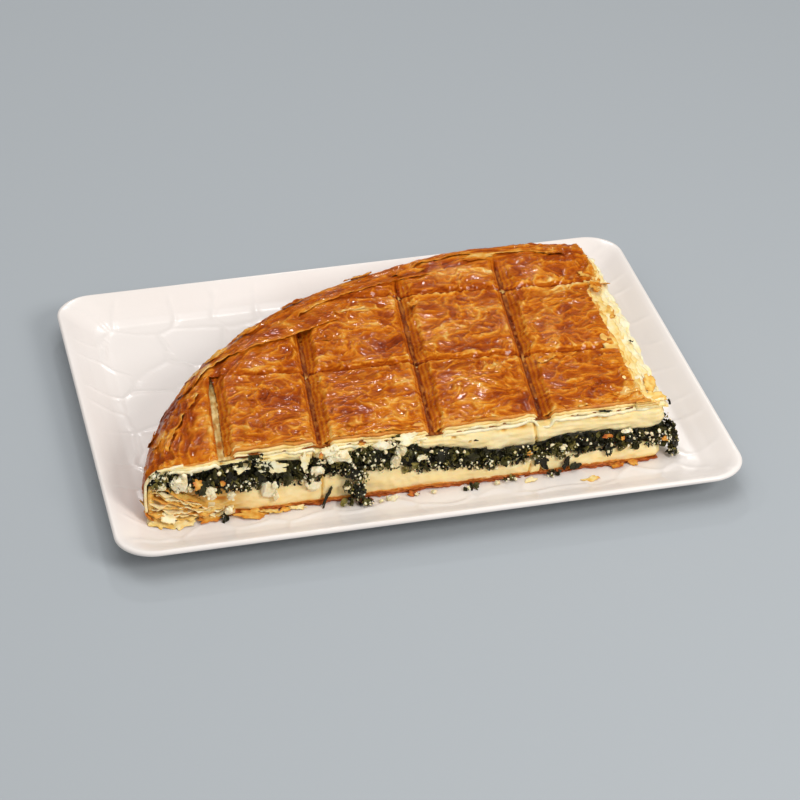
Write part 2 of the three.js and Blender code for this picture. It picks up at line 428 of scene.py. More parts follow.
def relief_height(x, y):
    """The ridges' height in mm at each point of the plate's top."""
    bend_x = x + 11 * noise(x / 27, y / 27, 61)
    bend_y = y + 11 * noise(x / 27, y / 27, 62)
    centres = relief_centres()
    distance = np.stack([(bend_x - cx) ** 2 + (bend_y - cy) ** 2 for cx, cy in centres], -1)
    order = np.argsort(distance, -1)
    nearest = order[:, 0]
    first = np.take_along_axis(distance, order[:, :1], -1)[:, 0]
    border = np.full(len(x), 1e9)
    for rank in (1, 2, 3):
        other = order[:, rank]
        gap = np.linalg.norm(centres[other] - centres[nearest], axis=1)
        second = np.take_along_axis(distance, order[:, rank:rank + 1], -1)[:, 0]
        border = np.minimum(border, (second - first) / (2 * gap))
    strength = 0.75 + 0.45 * noise(x / 24, y / 24, 63)
    ridge = np.exp(-((border / 1.2) ** 2)) + 0.4 * np.exp(-border / 4)
    inset = np.minimum(PLATE["length"] / 2 - np.abs(x), PLATE["depth"] / 2 - np.abs(y))
    return 0.65 * strength * ridge * ease(4, 11, inset)


# %% Build the plate
glaze = Surface("porcelain_glaze", Roughness=0.32, Coat_Weight=0.15, Coat_Roughness=0.15)
tint = glaze.noise(9.0, 2.0)
glaze.bump(glaze.noise(60.0, 2.0), 0.05, 0.0006)
glaze.colour(glaze.ramp(tint, (0.3, (237, 229, 223)), (0.7, (243, 236, 231))))


def build_plate():
    outside, inside = section_rings()
    rings = outside + inside
    points = []
    for inset, height in rings:
        outline = ring_points(inset, RING_STEPS)
        points.append(np.column_stack([outline, np.full(len(outline), height)]))
    columns = len(points[0])
    points = np.vstack(points)
    top = points[len(outside) * columns:]
    top[:, 2] += relief_height(top[:, 0], top[:, 1])
    faces = grid_faces(len(rings), columns, wrap=True)
    plate_piece = new_piece("porcelain_plate", points, faces, glaze.material)
    close = bmesh.new()
    close.from_mesh(plate_piece.data)
    close.verts.ensure_lookup_table()
    for start in (0, (len(rings) - 1) * columns):
        ring = [close.verts[start + i] for i in range(columns)]
        cap = close.faces.new(ring if start else ring[::-1])
        cap.smooth = True
    bmesh.ops.recalc_face_normals(close, faces=close.faces)
    close.to_mesh(plate_piece.data)
    close.free()
    return plate_piece


settle(build_plate(), "plate")

# %% [markdown]
# ## The crust's shape
# The top crust is several filo sheets, brushed with butter and baked until they wrinkle. It was scored into
# squares, and at the round side it wraps down over the rim to the plate. A sheet like this is easiest to
# think of flat: each point has a place on the flat sheet, and anything beyond the shoulder is laid down
# over the rim, as a tablecloth is. So the wrinkles are worked out on the flat sheet and then wrapped.

# %% Places on the score grid


def on_grid(x, y):
    """Distances along and across the score grid, from the pie's centre."""
    dx, dy = x - CENTRE[0], y - CENTRE[1]
    cosine, sine = math.cos(GRID_TURN), math.sin(GRID_TURN)
    return dx * cosine + dy * sine, -dx * sine + dy * cosine


def off_grid(u, v):
    cosine, sine = math.cos(GRID_TURN), math.sin(GRID_TURN)
    return CENTRE[0] + u * cosine - v * sine, CENTRE[1] + u * sine + v * cosine


def boundary(x, y, left, right, phase):
    """A gently swelling surface between two of the solid layers: its height at the left and at the right."""
    swell = np.sin((x + phase) / 21 + (y - phase) / 34) + np.sin((y - phase) / 17 - (x + phase) / 43)
    return WELL + left + (right - left) * ease(-40, 50, x) + 0.7 * swell


def under_crust(x, y):
    """The top of the soft pastry, which the crust lies on."""
    return boundary(x, y, 33.8, 34.4, 90)


# %% How the crust goes over the rim
SKIRT_BOTTOM = 9.6
RIM_TOP = 48.0
ROUNDING = 14.0  # how far the crust comes down while it rounds over


def rim_profile():
    """Arc length from the shoulder, and there the radius, the share of the height and the tilt."""
    angle = np.linspace(0, math.pi / 2, 60)
    over_r = RADIUS - SHOULDER + (SHOULDER - 0.7) * np.sin(angle)
    over_z = RIM_TOP - ROUNDING * (1 - np.cos(angle))
    down_z = np.linspace(over_z[-1], SKIRT_BOTTOM, 40)[1:]
    down = (over_z[-1] - down_z) / (over_z[-1] - SKIRT_BOTTOM)
    down_r = over_r[-1] + 0.5 * np.sin(down * math.pi) - 1.0 * down**3
    r, z = np.append(over_r, down_r), np.append(over_z, down_z)
    arc = np.append(0, np.cumsum(np.hypot(np.diff(r), np.diff(z))))
    tilt = np.arctan2(-np.gradient(z), np.gradient(r))
    return arc, r, (z - SKIRT_BOTTOM) / (RIM_TOP - SKIRT_BOTTOM), tilt


RIM_ARC, RIM_RADIUS, RIM_SHARE, RIM_TILT = rim_profile()
print(f"the crust runs {RIM_ARC[-1]:.1f} mm over the rim from its shoulder")


def drape(angle, over, top, relief):
    """Lays flat-sheet points on the pie: top is the height over the soft pastry, relief stands out."""
    out_x, out_y = np.cos(angle), np.sin(angle)
    beyond = np.maximum(over, 0)
    radius = np.where(over > 0, np.interp(beyond, RIM_ARC, RIM_RADIUS), over + RADIUS - SHOULDER)
    ring = np.minimum(radius, RADIUS - SHOULDER)
    height = under_crust(CENTRE[0] + ring * out_x, CENTRE[1] + ring * out_y) + top
    z = SKIRT_BOTTOM + (height - SKIRT_BOTTOM) * np.interp(beyond, RIM_ARC, RIM_SHARE)
    tilt = np.interp(beyond, RIM_ARC, RIM_TILT)
    tame = (1 - 0.8 * ease(RIM_ARC[-1] - 9, RIM_ARC[-1], over)) * (1 - 0.45 * ease(8, 22, over))
    radius = radius + relief * tame * np.sin(tilt)
    z = z + relief * tame * np.cos(tilt)
    z = np.where(z > HIGHEST - 1, HIGHEST - np.exp(-np.maximum(z - HIGHEST + 1, 0)), z)
    return np.column_stack([CENTRE[0] + radius * out_x, CENTRE[1] + radius * out_y, z])


# %% Wrinkles and browning of the flat sheet
SHEET_SEED = 100
BROWNED_SPOTS = [  # x, y, half width, half depth, and how much darker or paler
    (60, -84, 11, 7, 0.2), (-42, -70, 13, 9, 0.16), (4, -6, 14, 12, 0.2), (134, 66, 12, 10, 0.02),
    (104, -8, 16, 6, 0.08), (128, 2, 9, 14, 0.12), (92, -74, 9, 8, 0.06),
    (-72, -52, 14, 14, 0.2), (-61, -6, 13, 8, 0.1), (46, -17, 16, 7, 0.1), (-141, -42, 13, 24, 0.13),
    (-23, -72, 16, 8, -0.12), (41, -62, 16, 8, -0.1), (68, 66, 9, 8, -0.16), (117, 36, 14, 6, -0.28),
    (122, -92, 10, 14, -0.12), (33, 4, 16, 8, -0.08), (48, 64, 14, 7, -0.12), (-120, -60, 9, 24, -0.14),
    (68, -38, 8, 3, -0.2), (12, 39, 5, 4, -0.2), (-14, 34, 14, 3, -0.25), (-118, -4, 9, 7, -0.12),
    (-149, -68, 5, 7, -0.2), (-122, -4, 8, 8, -0.08), (55, -41, 8, 3, -0.15),
]


def sheet_relief(x, y, arc, over, seed):
    """Height and browning of the wrinkled sheet, with painted highlights on the crests and painted shade in
    the hollows; over is the distance past the shoulder.
    """
    bend_x = x + 9 * fractal(x / 26, y / 21, seed + 1)
    bend_y = y + 8 * fractal(x / 20, y / 18, seed + 2)
    folds = creases(bend_x / 9.5, bend_y / 6.4, seed + 3, 3.0)
    pleats = creases(bend_x / 4.6 + 0.15 * bend_y, bend_y / 3.1, seed + 4, 2.6)
    lively = ease(-0.3, 0.4, fractal(x / 21, y / 14, seed + 5))
    top = 1.15 * folds * (0.5 + 0.7 * lively) + 0.5 * pleats * (0.25 + lively)
    bend_arc = arc + 9 * fractal(arc / 40, over / 16, seed + 6)
    bend_over = over + 3.2 * fractal(arc / 26, over / 12, seed + 7)
    ropes = creases(bend_arc / 21, bend_over / 4.4, seed + 8, 1.6)
    strands = creases(bend_arc / 12, bend_over / 1.9, seed + 9, 1.6)
    rim = 1.35 * ropes + 0.5 * strands
    at_rim = ease(-13, 3, over + 6 * noise(arc / 30, 0.0 * arc, seed + 10))
    relief = top * (1 - at_rim) + rim * at_rim
    crest = np.maximum(folds * (1 - at_rim), ropes * at_rim)
    layers = 2.4 * fractal(bend_x / 28, bend_y / 16, seed + 11, 2)
    whole = np.floor(layers)
    edge = ease(0.0, 0.09, layers - whole)
    relief = relief + 0.34 * (whole + edge) + 0.75 * fractal(x / 31, y / 22, seed + 12, 2)
    tone = hashed(whole, 0 * whole, seed + 13) - 0.5
    patches = fractal(bend_x / 23, bend_y / 13, seed + 14, 3)
    swirls = fractal(bend_x / 6.4, bend_y / 4.2, seed + 15, 3)
    bake = 0.47 + 0.2 * patches + 0.13 * swirls + 0.08 * tone + 0.05 * at_rim
    # painted highlight and painted shade: crests and pleats are painted paler, the hollows between them
    # darker
    bake = bake - 0.24 * (crest - 0.3) - 0.17 * (pleats - 0.3) * (1 - at_rim)
    bake = bake + 0.14 * np.exp(-(((layers - whole) / 0.05) ** 2))
    for sx, sy, wide, deep, change in BROWNED_SPOTS:
        away = np.hypot((bend_x - 5 - sx) / wide, (bend_y - sy) / deep) + 0.3 * swirls
        bake = bake + change * ease(1.4, 0.5, away)
    bubbly = ease(-118, -132, x) * ease(0.1, 0.5, fractal(x / 16, y / 16, seed + 16) + 0.35)
    bubbly = np.maximum(bubbly, ease(95, 110, x) * ease(58, 68, y) * 0.8)
    bubble = blisters(x / 5.5, y / 5.5, seed + 17, 0.55) * bubbly
    relief = relief + 1.1 * bubble
    bake = bake - 0.22 * bubble + 0.05 * bubbly
    return relief - 0.9, bake


# %% The cut edges of the crust


def crust_front(x):
    """Where the crust ends at the front cut: it tore back a little, most at the left."""
    torn = 1.4 * fractal(x / 14, 0 * x, 71) + 0.6 * noise(x / 2.6, 0 * x, 72)
    return FRONT + 4.4 + torn + 3.0 * np.exp(-(((x + 104) / 9) ** 2)) - 2.6 * ease(-114, -121, x)


def front_hang(x, back):
    """How far the crust hangs over the front of the left wedge, at a distance back from its edge."""
    return 2.6 * ease(-114, -121, x) * np.exp(-np.maximum(back, 0) / 4)


def crust_right(y):
    torn = 1.3 * fractal(y / 13, 0 * y, 73) + 0.5 * noise(y / 2.4, 0 * y, 74)
    return RIGHT - 17.0 + 12.0 * ease(22, 50, y) + torn


def stairs(share, steps):
    """Turns an even slope into a few steps, like the edges of stacked sheets."""
    scaled = share * steps
    whole = np.floor(scaled)
    return (whole + ease(0.5, 1.0, scaled - whole)) / steps


# %% [markdown]
# ## The crust's squares
# Each square is its own piece of sheet, because the knife went through it. Its edges dip towards the score
# lines: a long slope in steps at the left, where the sheets were dragged down, and a short steep drop at the
# other sides. The edges of the stacked sheets show on the slope as lines along it. Its foot is painted
# darkest, and the slope that faces the front a little darker, as painted shade; the lip along its top is
# painted paler, as a painted highlight.

# %% The banks along the score lines
# for each side, the width, the depth and the number of steps of the slope down to the line
BANKS = {"left": (7.2, 4.3, 3), "right": (3.2, 3.4, 2), "near": (3.0, 4.1, 3), "far": (1.9, 2.6, 1)}


def over_shoulder(x, y):
    return np.hypot(x - CENTRE[0], y - CENTRE[1]) - (RADIUS - SHOULDER)


def score_fade(line, over):
    """A score line closes up near the shoulder; the first one runs on to the rim."""
    return 1 - (ease(0, 14, over) if line == COLUMNS[0] else ease(-14, 1, over))


def banks(distance, along, edges, over, seed):
    """What the score lines do to a square: how far it drops, its lip, the groove, and the browning and
    painted shade there.
    """
    drop, lip, groove, browning_and_shade = [np.zeros_like(over) for _ in range(4)]
    for side, (width, depth, steps) in BANKS.items():
        if edges[side] not in COLUMNS + ROWS:
            continue
        width = width * (1 + 0.35 * noise(along[side] / 10, 0 * over, seed + 20))
        open_here = score_fade(edges[side], over)
        share = np.clip((distance[side] - 0.5) / width, 0, 1)
        shaped = stairs(share + 0.05 * noise(along[side] / 5, 2.0 * share, seed + 21), steps)
        lowered = depth * (1 - np.clip(0.35 * share + 0.65 * shaped, 0, 1)) * open_here
        groove = np.where(lowered > drop, (1 - share) * open_here, groove)
        drop = np.maximum(drop, lowered)
        lines = 0.13 * np.sin(share * steps * 2 * math.pi) * (share < 1)
        # painted shade: bottom darkens the foot of the slope, shade the slope that faces the front
        bottom = 0.34 * ease(0.26, 0.08, share)
        shade = 0.2 * ease(1.0, 0.3, share) * (side == "near")
        browning_and_shade = browning_and_shade + (lines + bottom + shade) * open_here
        crest = np.exp(-(((distance[side] - width - 1.4) / 1.2) ** 2)) * open_here
        lip = lip + crest * (0.55 + 0.6 * noise(along[side] / 8, 0 * over, seed + 22))
    return drop, lip, groove, browning_and_shade


# %% [markdown]
# ### Squares that end at the rim
# A regular grid of points would do for a flat square, but the squares at the rim have to end at the circle
# and at the cuts. So points that lie past an edge are pulled back onto it, and the faces with nothing left
# are dropped. Each point is then laid down on the pie with its drop, its wrinkles and its browning.

# %% A square's grid of points
CRUST_STEP = 0.6


def scored_edge(line, is_column, across, seed):
    """How far a square's edge stands back from its score line; the line closes up at the rim."""
    if line not in COLUMNS + ROWS:
        return 0.0
    x, y = off_grid(line, across) if is_column else off_grid(across, line)
    fade = score_fade(line, over_shoulder(x, y))
    wide = 1.8 if line == COLUMNS[0] else 0.3
    ragged = 0.5 * noise(across / 7, 0 * across, seed) + 0.3 * noise(across / 1.7, 0 * across, seed + 1)
    return (wide + 0.8 * ragged) * fade


def square_grid(edges, seed):
    """Rows, columns and the places of a square's points on the score grid."""
    left, right, near, far = edges.values()
    rows, columns = int((far - near) / CRUST_STEP) + 1, int((right - left) / CRUST_STEP) + 1
    a, b = np.meshgrid(np.linspace(0, 1, columns), np.linspace(0, 1, rows))
    u, v = left + a * (right - left), near + b * (far - near)
    from_left, from_right = scored_edge(left, True, v, seed), scored_edge(right, True, v, seed + 2)
    from_near, from_far = scored_edge(near, False, u, seed + 4), scored_edge(far, False, u, seed + 6)
    u = u + from_left * (1 - a) - from_right * a
    v = v + from_near * (1 - b) - from_far * b
    return rows, columns, u.ravel(), v.ravel()


# %% Pull points onto the pie's outline


def pull_in(x, y, seed):
    """Moves points that lie past the hem or a cut back onto it. Also gives their distances over the
    shoulder, back from the front cut and in from the right cut, and which of them were moved."""
    over = over_shoulder(x, y)
    angle = np.arctan2(y - CENTRE[1], x - CENTRE[0])
    hem = RIM_ARC[-1] - 1.2 - 1.4 * fractal(angle * RADIUS / 11, 0 * angle, seed + 8)
    hem = hem - 14 * ease(-80, -96, y) * (x < 0)
    beyond = over > hem
    over = np.where(beyond, hem, over)
    radius = np.where(over > 0, np.interp(over, RIM_ARC, RIM_RADIUS), over + RADIUS - SHOULDER)
    x = np.where(over > 0, CENTRE[0] + radius * np.cos(angle), x)
    y = np.where(over > 0, CENTRE[1] + radius * np.sin(angle), y)
    front = crust_front(x)
    past_front = y < front
    y = np.where(past_front, front, y)
    reach = np.sqrt(np.maximum(radius**2 - (front - CENTRE[1]) ** 2, 0))
    x = np.where(past_front & (over > 0), CENTRE[0] + np.sign(x - CENTRE[0]) * reach, x)
    side = crust_right(y)
    past_side = x > side
    x = np.where(past_side, side, x)
    climb = np.sqrt(np.maximum(radius**2 - (side - CENTRE[0]) ** 2, 0))
    y = np.where(past_side & (over > 0), CENTRE[1] + climb, y)
    over = np.where(over > 0, over, over_shoulder(x, y))
    return x, y, over, y - front, side - x, beyond | past_front | past_side


# %% Build one square of crust


def crust_square(name, edges, seed):
    """A piece of crust; edges are its left, right, near and far sides on the score grid."""
    edges = dict(zip(BANKS, edges))
    rows, columns, u, v = square_grid(edges, seed)
    x, y, over, back, inland, moved = pull_in(*off_grid(u, v), seed)
    angle = np.arctan2(y - CENTRE[1], x - CENTRE[0])
    flat_radius = over + RADIUS - SHOULDER
    flat_x, flat_y = CENTRE[0] + flat_radius * np.cos(angle), CENTRE[1] + flat_radius * np.sin(angle)
    relief, bake = sheet_relief(flat_x, flat_y, angle * RADIUS, over, SHEET_SEED)

    distance = {"left": u - edges["left"], "right": edges["right"] - u,
                "near": v - edges["near"], "far": edges["far"] - v}
    along = {"left": v, "right": v, "near": u, "far": u}
    drop, lip, groove, browning_and_shade = banks(distance, along, edges, over, seed)
    # the lip is painted paler, a painted highlight; the banks bring their painted shade in here
    bake = bake + (0.44 - bake) * 0.6 * ease(0.05, 0.4, groove) + browning_and_shade - 0.16 * np.clip(lip, 0, 1)
    at_cut = np.maximum(np.minimum(back, inland + 0.5), 0)
    bake = bake - 0.13 * np.exp(-at_cut / 2.2)
    bake = bake + 0.06 * ease(4, 26, over) + 0.12 * ease(30, 50, over)

    curl = 0.5 * noise(x / 13, y / 13, seed + 23) * np.exp(-at_cut / 3)
    inner = np.min([np.abs(away) for away in distance.values()], axis=0)
    crown = 1.3 * ease(0, 26, inner) * (1 - ease(-14, 1, over))
    top = TILE_TOP + crown + 0.5 * lip - drop + curl - front_hang(x, back)
    calm = 1 - 0.75 * ease(0.1, 0.6, groove)
    points = drape(angle, over, top, relief * calm)

    faces = grid_faces(rows, columns)
    wanted = ~moved[faces].all(1)
    points, faces, values = keep_faces(points, faces, wanted, bake=bake, groove=groove)
    square = new_piece(name, points, faces, crust_finish.material, **values)
    thick = square.modifiers.new("sheet thickness", "SOLIDIFY")
    thick.thickness = 0.9 * MM
    thick.offset = -1
    return square


# %% [markdown]
# ## The crust's finish
# Baked filo runs from cream through gold to red-brown within a few millimetres, and its butter leaves small
# sharp glints on the crests. The browning was worked out with the wrinkles and is stored on the points,
# together with painted highlights on the crests and painted shade in the hollows and at the foot of the score
# lines. The material turns it into colour with a ramp, adds fine grain, and keeps the gloss uneven.

# %% Crust material
crust_finish = Surface("browned_filo", Specular_IOR_Level=0.25, Coat_Weight=0.5, Coat_Roughness=0.1,
                       Specular_Tint=(1.0, 0.4, 0.08, 1.0))


def finish_crust(surface):
    grain = surface.noise(260.0, 4.0, (1.0, 2.6, 1.0))
    flecks = surface.noise(900.0, 3.0, (1.0, 2.0, 1.0))
    # the stored bake holds the browning and also painted highlights and painted shade
    browning = surface.math("ADD", surface.stored("bake"), surface.math("MULTIPLY_ADD", grain, 0.26, -0.13))
    browning = surface.math("ADD", browning, surface.math("MULTIPLY_ADD", flecks, 0.12, -0.06))
    tone = surface.ramp(
        browning,
        (0.0, (238, 204, 136)), (0.14, (230, 168, 72)), (0.28, (216, 132, 32)), (0.42, (192, 100, 14)),
        (0.56, (164, 72, 8)), (0.74, (132, 48, 8)), (1.0, (90, 32, 12)),
    )
    shine = surface.noise(120.0, 3.0, (1.0, 2.0, 1.0))
    rough = surface.math("MULTIPLY_ADD", shine, 0.5, 0.1)
    surface.feed(surface.shader.inputs["Roughness"], rough)
    foil = surface.math("MULTIPLY", surface.ridges(230.0), 0.6)
    fine = surface.math("ADD", surface.math("ADD", grain, foil), surface.math("MULTIPLY", flecks, 0.3))
    surface.bump(fine, 0.7, 0.0013)
    surface.colour(tone)


finish_crust(crust_finish)

# %% Build all the squares
FAR_LEFT, FAR_BACK, FRONT_ROW, FAR_RIGHT = -294.0, 292.0, 22.0, 66.0
SQUARES = [
    ("rim_wedge", FAR_LEFT, COLUMNS[0], FRONT_ROW, ROWS[0]),
    ("front_square_1", COLUMNS[0], COLUMNS[1], FRONT_ROW, ROWS[0]),
    ("front_square_2", COLUMNS[1], COLUMNS[2], FRONT_ROW, ROWS[0]),
    ("front_square_3", COLUMNS[2], COLUMNS[3], FRONT_ROW, ROWS[0]),
    ("front_square_4", COLUMNS[3], FAR_RIGHT, FRONT_ROW, ROWS[0]),
    ("middle_square_1", FAR_LEFT, COLUMNS[1], ROWS[0], ROWS[1]),
    ("middle_square_2", COLUMNS[1], COLUMNS[2], ROWS[0], ROWS[1]),
    ("middle_square_3", COLUMNS[2], COLUMNS[3], ROWS[0], ROWS[1]),
    ("middle_square_4", COLUMNS[3], FAR_RIGHT, ROWS[0], ROWS[1]),
    ("back_square_1", FAR_LEFT, COLUMNS[2], ROWS[1], FAR_BACK),
    ("back_square_2", COLUMNS[2], COLUMNS[3], ROWS[1], FAR_BACK),
    ("back_square_3", COLUMNS[3], FAR_RIGHT, ROWS[1], FAR_BACK),
]
for number, (name, *edges) in enumerate(SQUARES):
    settle(crust_square("crust_" + name, edges, 200 + 40 * number), "top_crust")

# %% [markdown]
# ## Under the squares
# Where the knife parted the squares, the next sheets show, a little greasy. They are painted dark brown in
# most lines, as painted shade in the narrow gaps, and pale in the first one and where lines cross. One bumpy
# sheet under all the squares is enough, because only narrow strips of it can be seen.

# %% The bed under the score lines
BED_STEP = 1.3
BED_REACH = 14  # how far over the shoulder the bed goes


def crust_bed():
    x, y = np.meshgrid(np.arange(-165, RIGHT - 10, BED_STEP), np.arange(FRONT + 1.5, 104, BED_STEP))
    shape = x.shape
    x, y = x.ravel(), y.ravel()
    torn = 0.8 * fractal(x / 9, 0 * x, 301)
    y = np.maximum(y, FRONT + 2.6 + torn)
    x = np.minimum(x, crust_right(y) - 1.0)
    over = over_shoulder(x, y)
    angle = np.arctan2(y - CENTRE[1], x - CENTRE[0])
    outside = over > BED_REACH
    bumps = 0.6 * creases(x / 9, y / 5, 302) + 0.5 * fractal(x / 6, y / 6, 303)
    points = drape(angle, np.minimum(over, BED_REACH), 1.2 + 0 * x, bumps - 1.6 * ease(-4, 10, over))
    u, v = on_grid(x, y)
    off_column = np.min([np.abs(u - line) for line in COLUMNS], axis=0)
    off_row = np.min([np.abs(v - line) for line in ROWS], axis=0)
    crossing = ease(5.0, 2.0, np.hypot(off_column, off_row))
    pale = 0.46 * ease(8, 3, np.abs(u - COLUMNS[0] - 1)) + 0.4 * crossing
    streaks = 0.2 * noise(x / 2.2, y / 7, 305)
    # the high base browning paints most lines dark brown, as painted shade in the narrow gaps
    bake = 0.6 + 0.2 * fractal(x / 9, y / 9, 304) + streaks - pale
    faces = grid_faces(*shape)
    points, faces, values = keep_faces(points, faces, ~outside[faces].all(1), bake=bake)
    bed = new_piece("groove_bed", points, faces, bed_finish.material, **values)
    thick = bed.modifiers.new("sheet thickness", "SOLIDIFY")
    thick.thickness = 0.7 * MM
    return bed


bed_finish = Surface("greasy_filo_painted_shade", Roughness=0.5, Specular_IOR_Level=0.12)
bed_finish.bump(bed_finish.noise(260.0, 4.0), 0.9, 0.0016)
mottle = bed_finish.math("MULTIPLY_ADD", bed_finish.noise(160.0, 4.0), 0.4, -0.2)
strands = bed_finish.math("MULTIPLY_ADD", bed_finish.noise(620.0, 3.0, (1.0, 0.16, 1.0)), 0.8, -0.4)
bed_grain = bed_finish.math("ADD", mottle, strands)
bed_bake = bed_finish.math("ADD", bed_finish.stored("bake"), bed_grain)
bed_finish.colour(bed_finish.ramp(
    bed_bake, (0.0, (224, 196, 136)), (0.16, (190, 152, 86)), (0.38, (178, 104, 28)), (0.7, (118, 54, 14)),
))
settle(crust_bed(), "top_crust")

# %% [markdown]
# ## Thin sheets
# The filo sheets that stick out at the cuts are paper-thin, wavy and torn. Each one starts as a grid of
# points. The grid is doubled, the copy is moved by the thickness of the sheet, and the border is closed, so
# that even a paper-thin sheet is a solid with an inside and an outside.

# %% Closed sheets and how to join them


def thin_sheet(points, thickness, **values):
    """A closed shell round a grid of points (rows, columns, 3)."""
    rows, columns = points.shape[:2]
    normal = np.cross(np.gradient(points, axis=1), np.gradient(points, axis=0))
    normal /= np.linalg.norm(normal, axis=-1, keepdims=True) + 1e-9
    top = (points + normal * thickness / 2).reshape(-1, 3)
    under = (points - normal * thickness / 2).reshape(-1, 3)
    count = rows * columns
    faces = grid_faces(rows, columns)
    last = (rows - 1) * columns
    border = np.concatenate([
        np.arange(columns), np.arange(2, rows + 1) * columns - 1,
        last + np.arange(columns - 2, -1, -1), np.arange(rows - 2, 0, -1) * columns,
    ])
    following = np.roll(border, -1)
    rim = np.stack([border, border + count, following + count, following], -1)
    both = {key: np.tile(np.broadcast_to(v, (rows, columns)).ravel(), 2) for key, v in values.items()}
    return np.vstack([top, under]), np.vstack([faces, faces[:, ::-1] + count, rim]), both


def settle_shells(name, shells, finish, node):
    """Joins several (points, faces, values) into one piece and settles it."""
    starts = np.cumsum([0] + [len(points) for points, _, _ in shells[:-1]])
    faces = np.vstack([faces + start for (_, faces, _), start in zip(shells, starts)])
    values = {key: np.concatenate([shell[2][key] for shell in shells]) for key in shells[0][2]}
    points = np.vstack([points for points, _, _ in shells])
    return settle(new_piece(name, points, faces, finish.material, **values), node)


def edge_strip(path, out, height, reach, inside, bake, rows=6, thickness=0.25, droop=0.0, fringe=0.0):
    """A sheet along a cut: path is the line of the cut, out points out of the pie, reach is how far it
    sticks out at each place, and droop how far its edge hangs."""
    share = np.linspace(0, 1, rows)[:, None]
    distance = -inside + (inside + reach[None, :]) * share
    out = np.broadcast_to(np.asarray(out, float), path.shape)
    x = path[:, 0][None, :] + out[:, 0] * distance
    y = path[:, 1][None, :] + out[:, 1] * distance
    z = height[None, :] - droop * np.clip(distance / 4, 0, 3) ** 2 + 0.25 * np.sin(distance * 1.1 + x / 5)
    tint = bake[None, :] + fringe * ease(0.7, 1.0, share)
    return thin_sheet(np.stack([x, y, z], -1), thickness, bake=tint + 0 * x)


# %% [markdown]
# ## Loose sheets on the crust
# At the rim the outer sheet was folded over the others, and its torn inner edge stands up a little along
# the whole curve. Smaller torn scraps lie on the squares. All of them are laid down with the same draping
# as the squares and lifted by a fraction of a millimetre, so that they follow the crust and cast a thin
# shadow along their torn edge.

# %% The sheet folded over the rim


def rim_fold(name, start, end, inner_start, inner_end, width, seed, lift, pale):
    """A draped band; start and end are angles in degrees, inner its distance past the shoulder."""
    along = np.linspace(0, 1, int(abs(start - end) * 7.5))
    across = np.linspace(0, 1, 46)
    a, b = np.meshgrid(along, across)
    shape = a.shape
    a, b = a.ravel(), b.ravel()
    arc = a * abs(start - end) * 4.3
    angle = np.radians(start + (end - start) * a + (1 - a) * a * 1.5 * fractal(arc / 30, b * 3, seed) * 0.2)
    torn = 2.2 * fractal(arc / 22, 0 * arc, seed + 1) + 0.8 * noise(arc / 3.5, 0 * arc, seed + 2)
    inner = inner_start + (inner_end - inner_start) * ease(0, 1, a) + torn
    over = inner + width * b * (0.85 + 0.25 * noise(arc / 25, 0 * arc, seed + 3))
    flat_radius = over + RADIUS - SHOULDER
    x, y = CENTRE[0] + flat_radius * np.cos(angle), CENTRE[1] + flat_radius * np.sin(angle)
    under, _ = sheet_relief(x, y, angle * RADIUS, over, SHEET_SEED)
    own, bake = sheet_relief(x, y, angle * RADIUS, np.maximum(over, 2), seed + 10)
    ends = ease(0, 0.05, np.minimum(a, 1 - a))
    raised = lift * (1 - ease(0.3, 1.0, b)) * ends - 0.9 * (1 - ends) - 0.9 * ease(0.75, 1, b)
    curl = 0.7 * np.exp(-b * width / 1.8) * (0.5 + noise(arc / 12, 0 * arc, seed + 4))
    relief = 0.45 * under + 0.55 * own + raised + curl * ends
    top = np.full_like(a, TILE_TOP + 0.25)
    points = drape(angle, over, top, relief)
    bake = bake - pale - 0.2 * np.exp(-b * width / 1.6)
    fold = new_piece(name, points, grid_faces(*shape), crust_finish.material, bake=bake, groove=0 * bake)
    thick = fold.modifiers.new("sheet thickness", "SOLIDIFY")
    thick.thickness = 0.5 * MM
    return fold


FOLDS = [  # name, two angles, two distances past the shoulder, width, seed, lift, paler by
    ("rim_fold_left", 148.5, 121.0, 15.5, -20.0, 24, 900, 1.3, 0.0),
    ("rim_fold_back", 126.0, 98.0, 1.0, -6.0, 17, 940, 1.0, 0.02),
    ("rim_fold_right", 103.0, 78.5, 8.0, 0.0, 16, 980, 1.1, 0.0),
    ("rim_fold_tip", 164.5, 150.0, 12.0, 8.0, 15, 1020, 0.9, 0.06),
]
for fold in FOLDS:
    settle(rim_fold(*fold), "top_crust")

# %% Torn scraps on the crust


def scrap_on_crust(x, y, wide, deep, turn, seed, change, lift):
    """A torn thin scrap, as grid points that lie on the crust."""
    a, b = np.meshgrid(np.linspace(-1, 1, 26), np.linspace(-1, 1, 20))
    round_a, round_b = a * np.sqrt(1 - b**2 / 2), b * np.sqrt(1 - a**2 / 2)
    way = np.arctan2(round_b, round_a)
    torn = 1 + 0.35 * noise(2.2 * np.cos(way), 2.2 * np.sin(way), seed)
    torn = torn + 0.16 * noise(7 * np.cos(way), 7 * np.sin(way), seed + 1)
    across, along = round_a * wide * torn, round_b * deep * torn
    cosine, sine = math.cos(math.radians(turn)), math.sin(math.radians(turn))
    px, py = x + across * cosine - along * sine, y + across * sine + along * cosine
    shape = px.shape
    px, py = px.ravel(), py.ravel()
    over, angle = over_shoulder(px, py), np.arctan2(py - CENTRE[1], px - CENTRE[0])
    relief, bake = sheet_relief(px, py, angle * RADIUS, over, SHEET_SEED)
    edge = (round_a**2 + round_b**2).ravel()
    relief = relief + lift * (0.3 + 0.9 * edge * (0.6 + noise(px / 5, py / 5, seed + 2)))
    points = drape(angle, over, np.full_like(px, TILE_TOP + 1.0), relief).reshape(*shape, 3)
    return thin_sheet(points, 0.25, bake=(bake + change).reshape(shape), groove=np.zeros(shape))


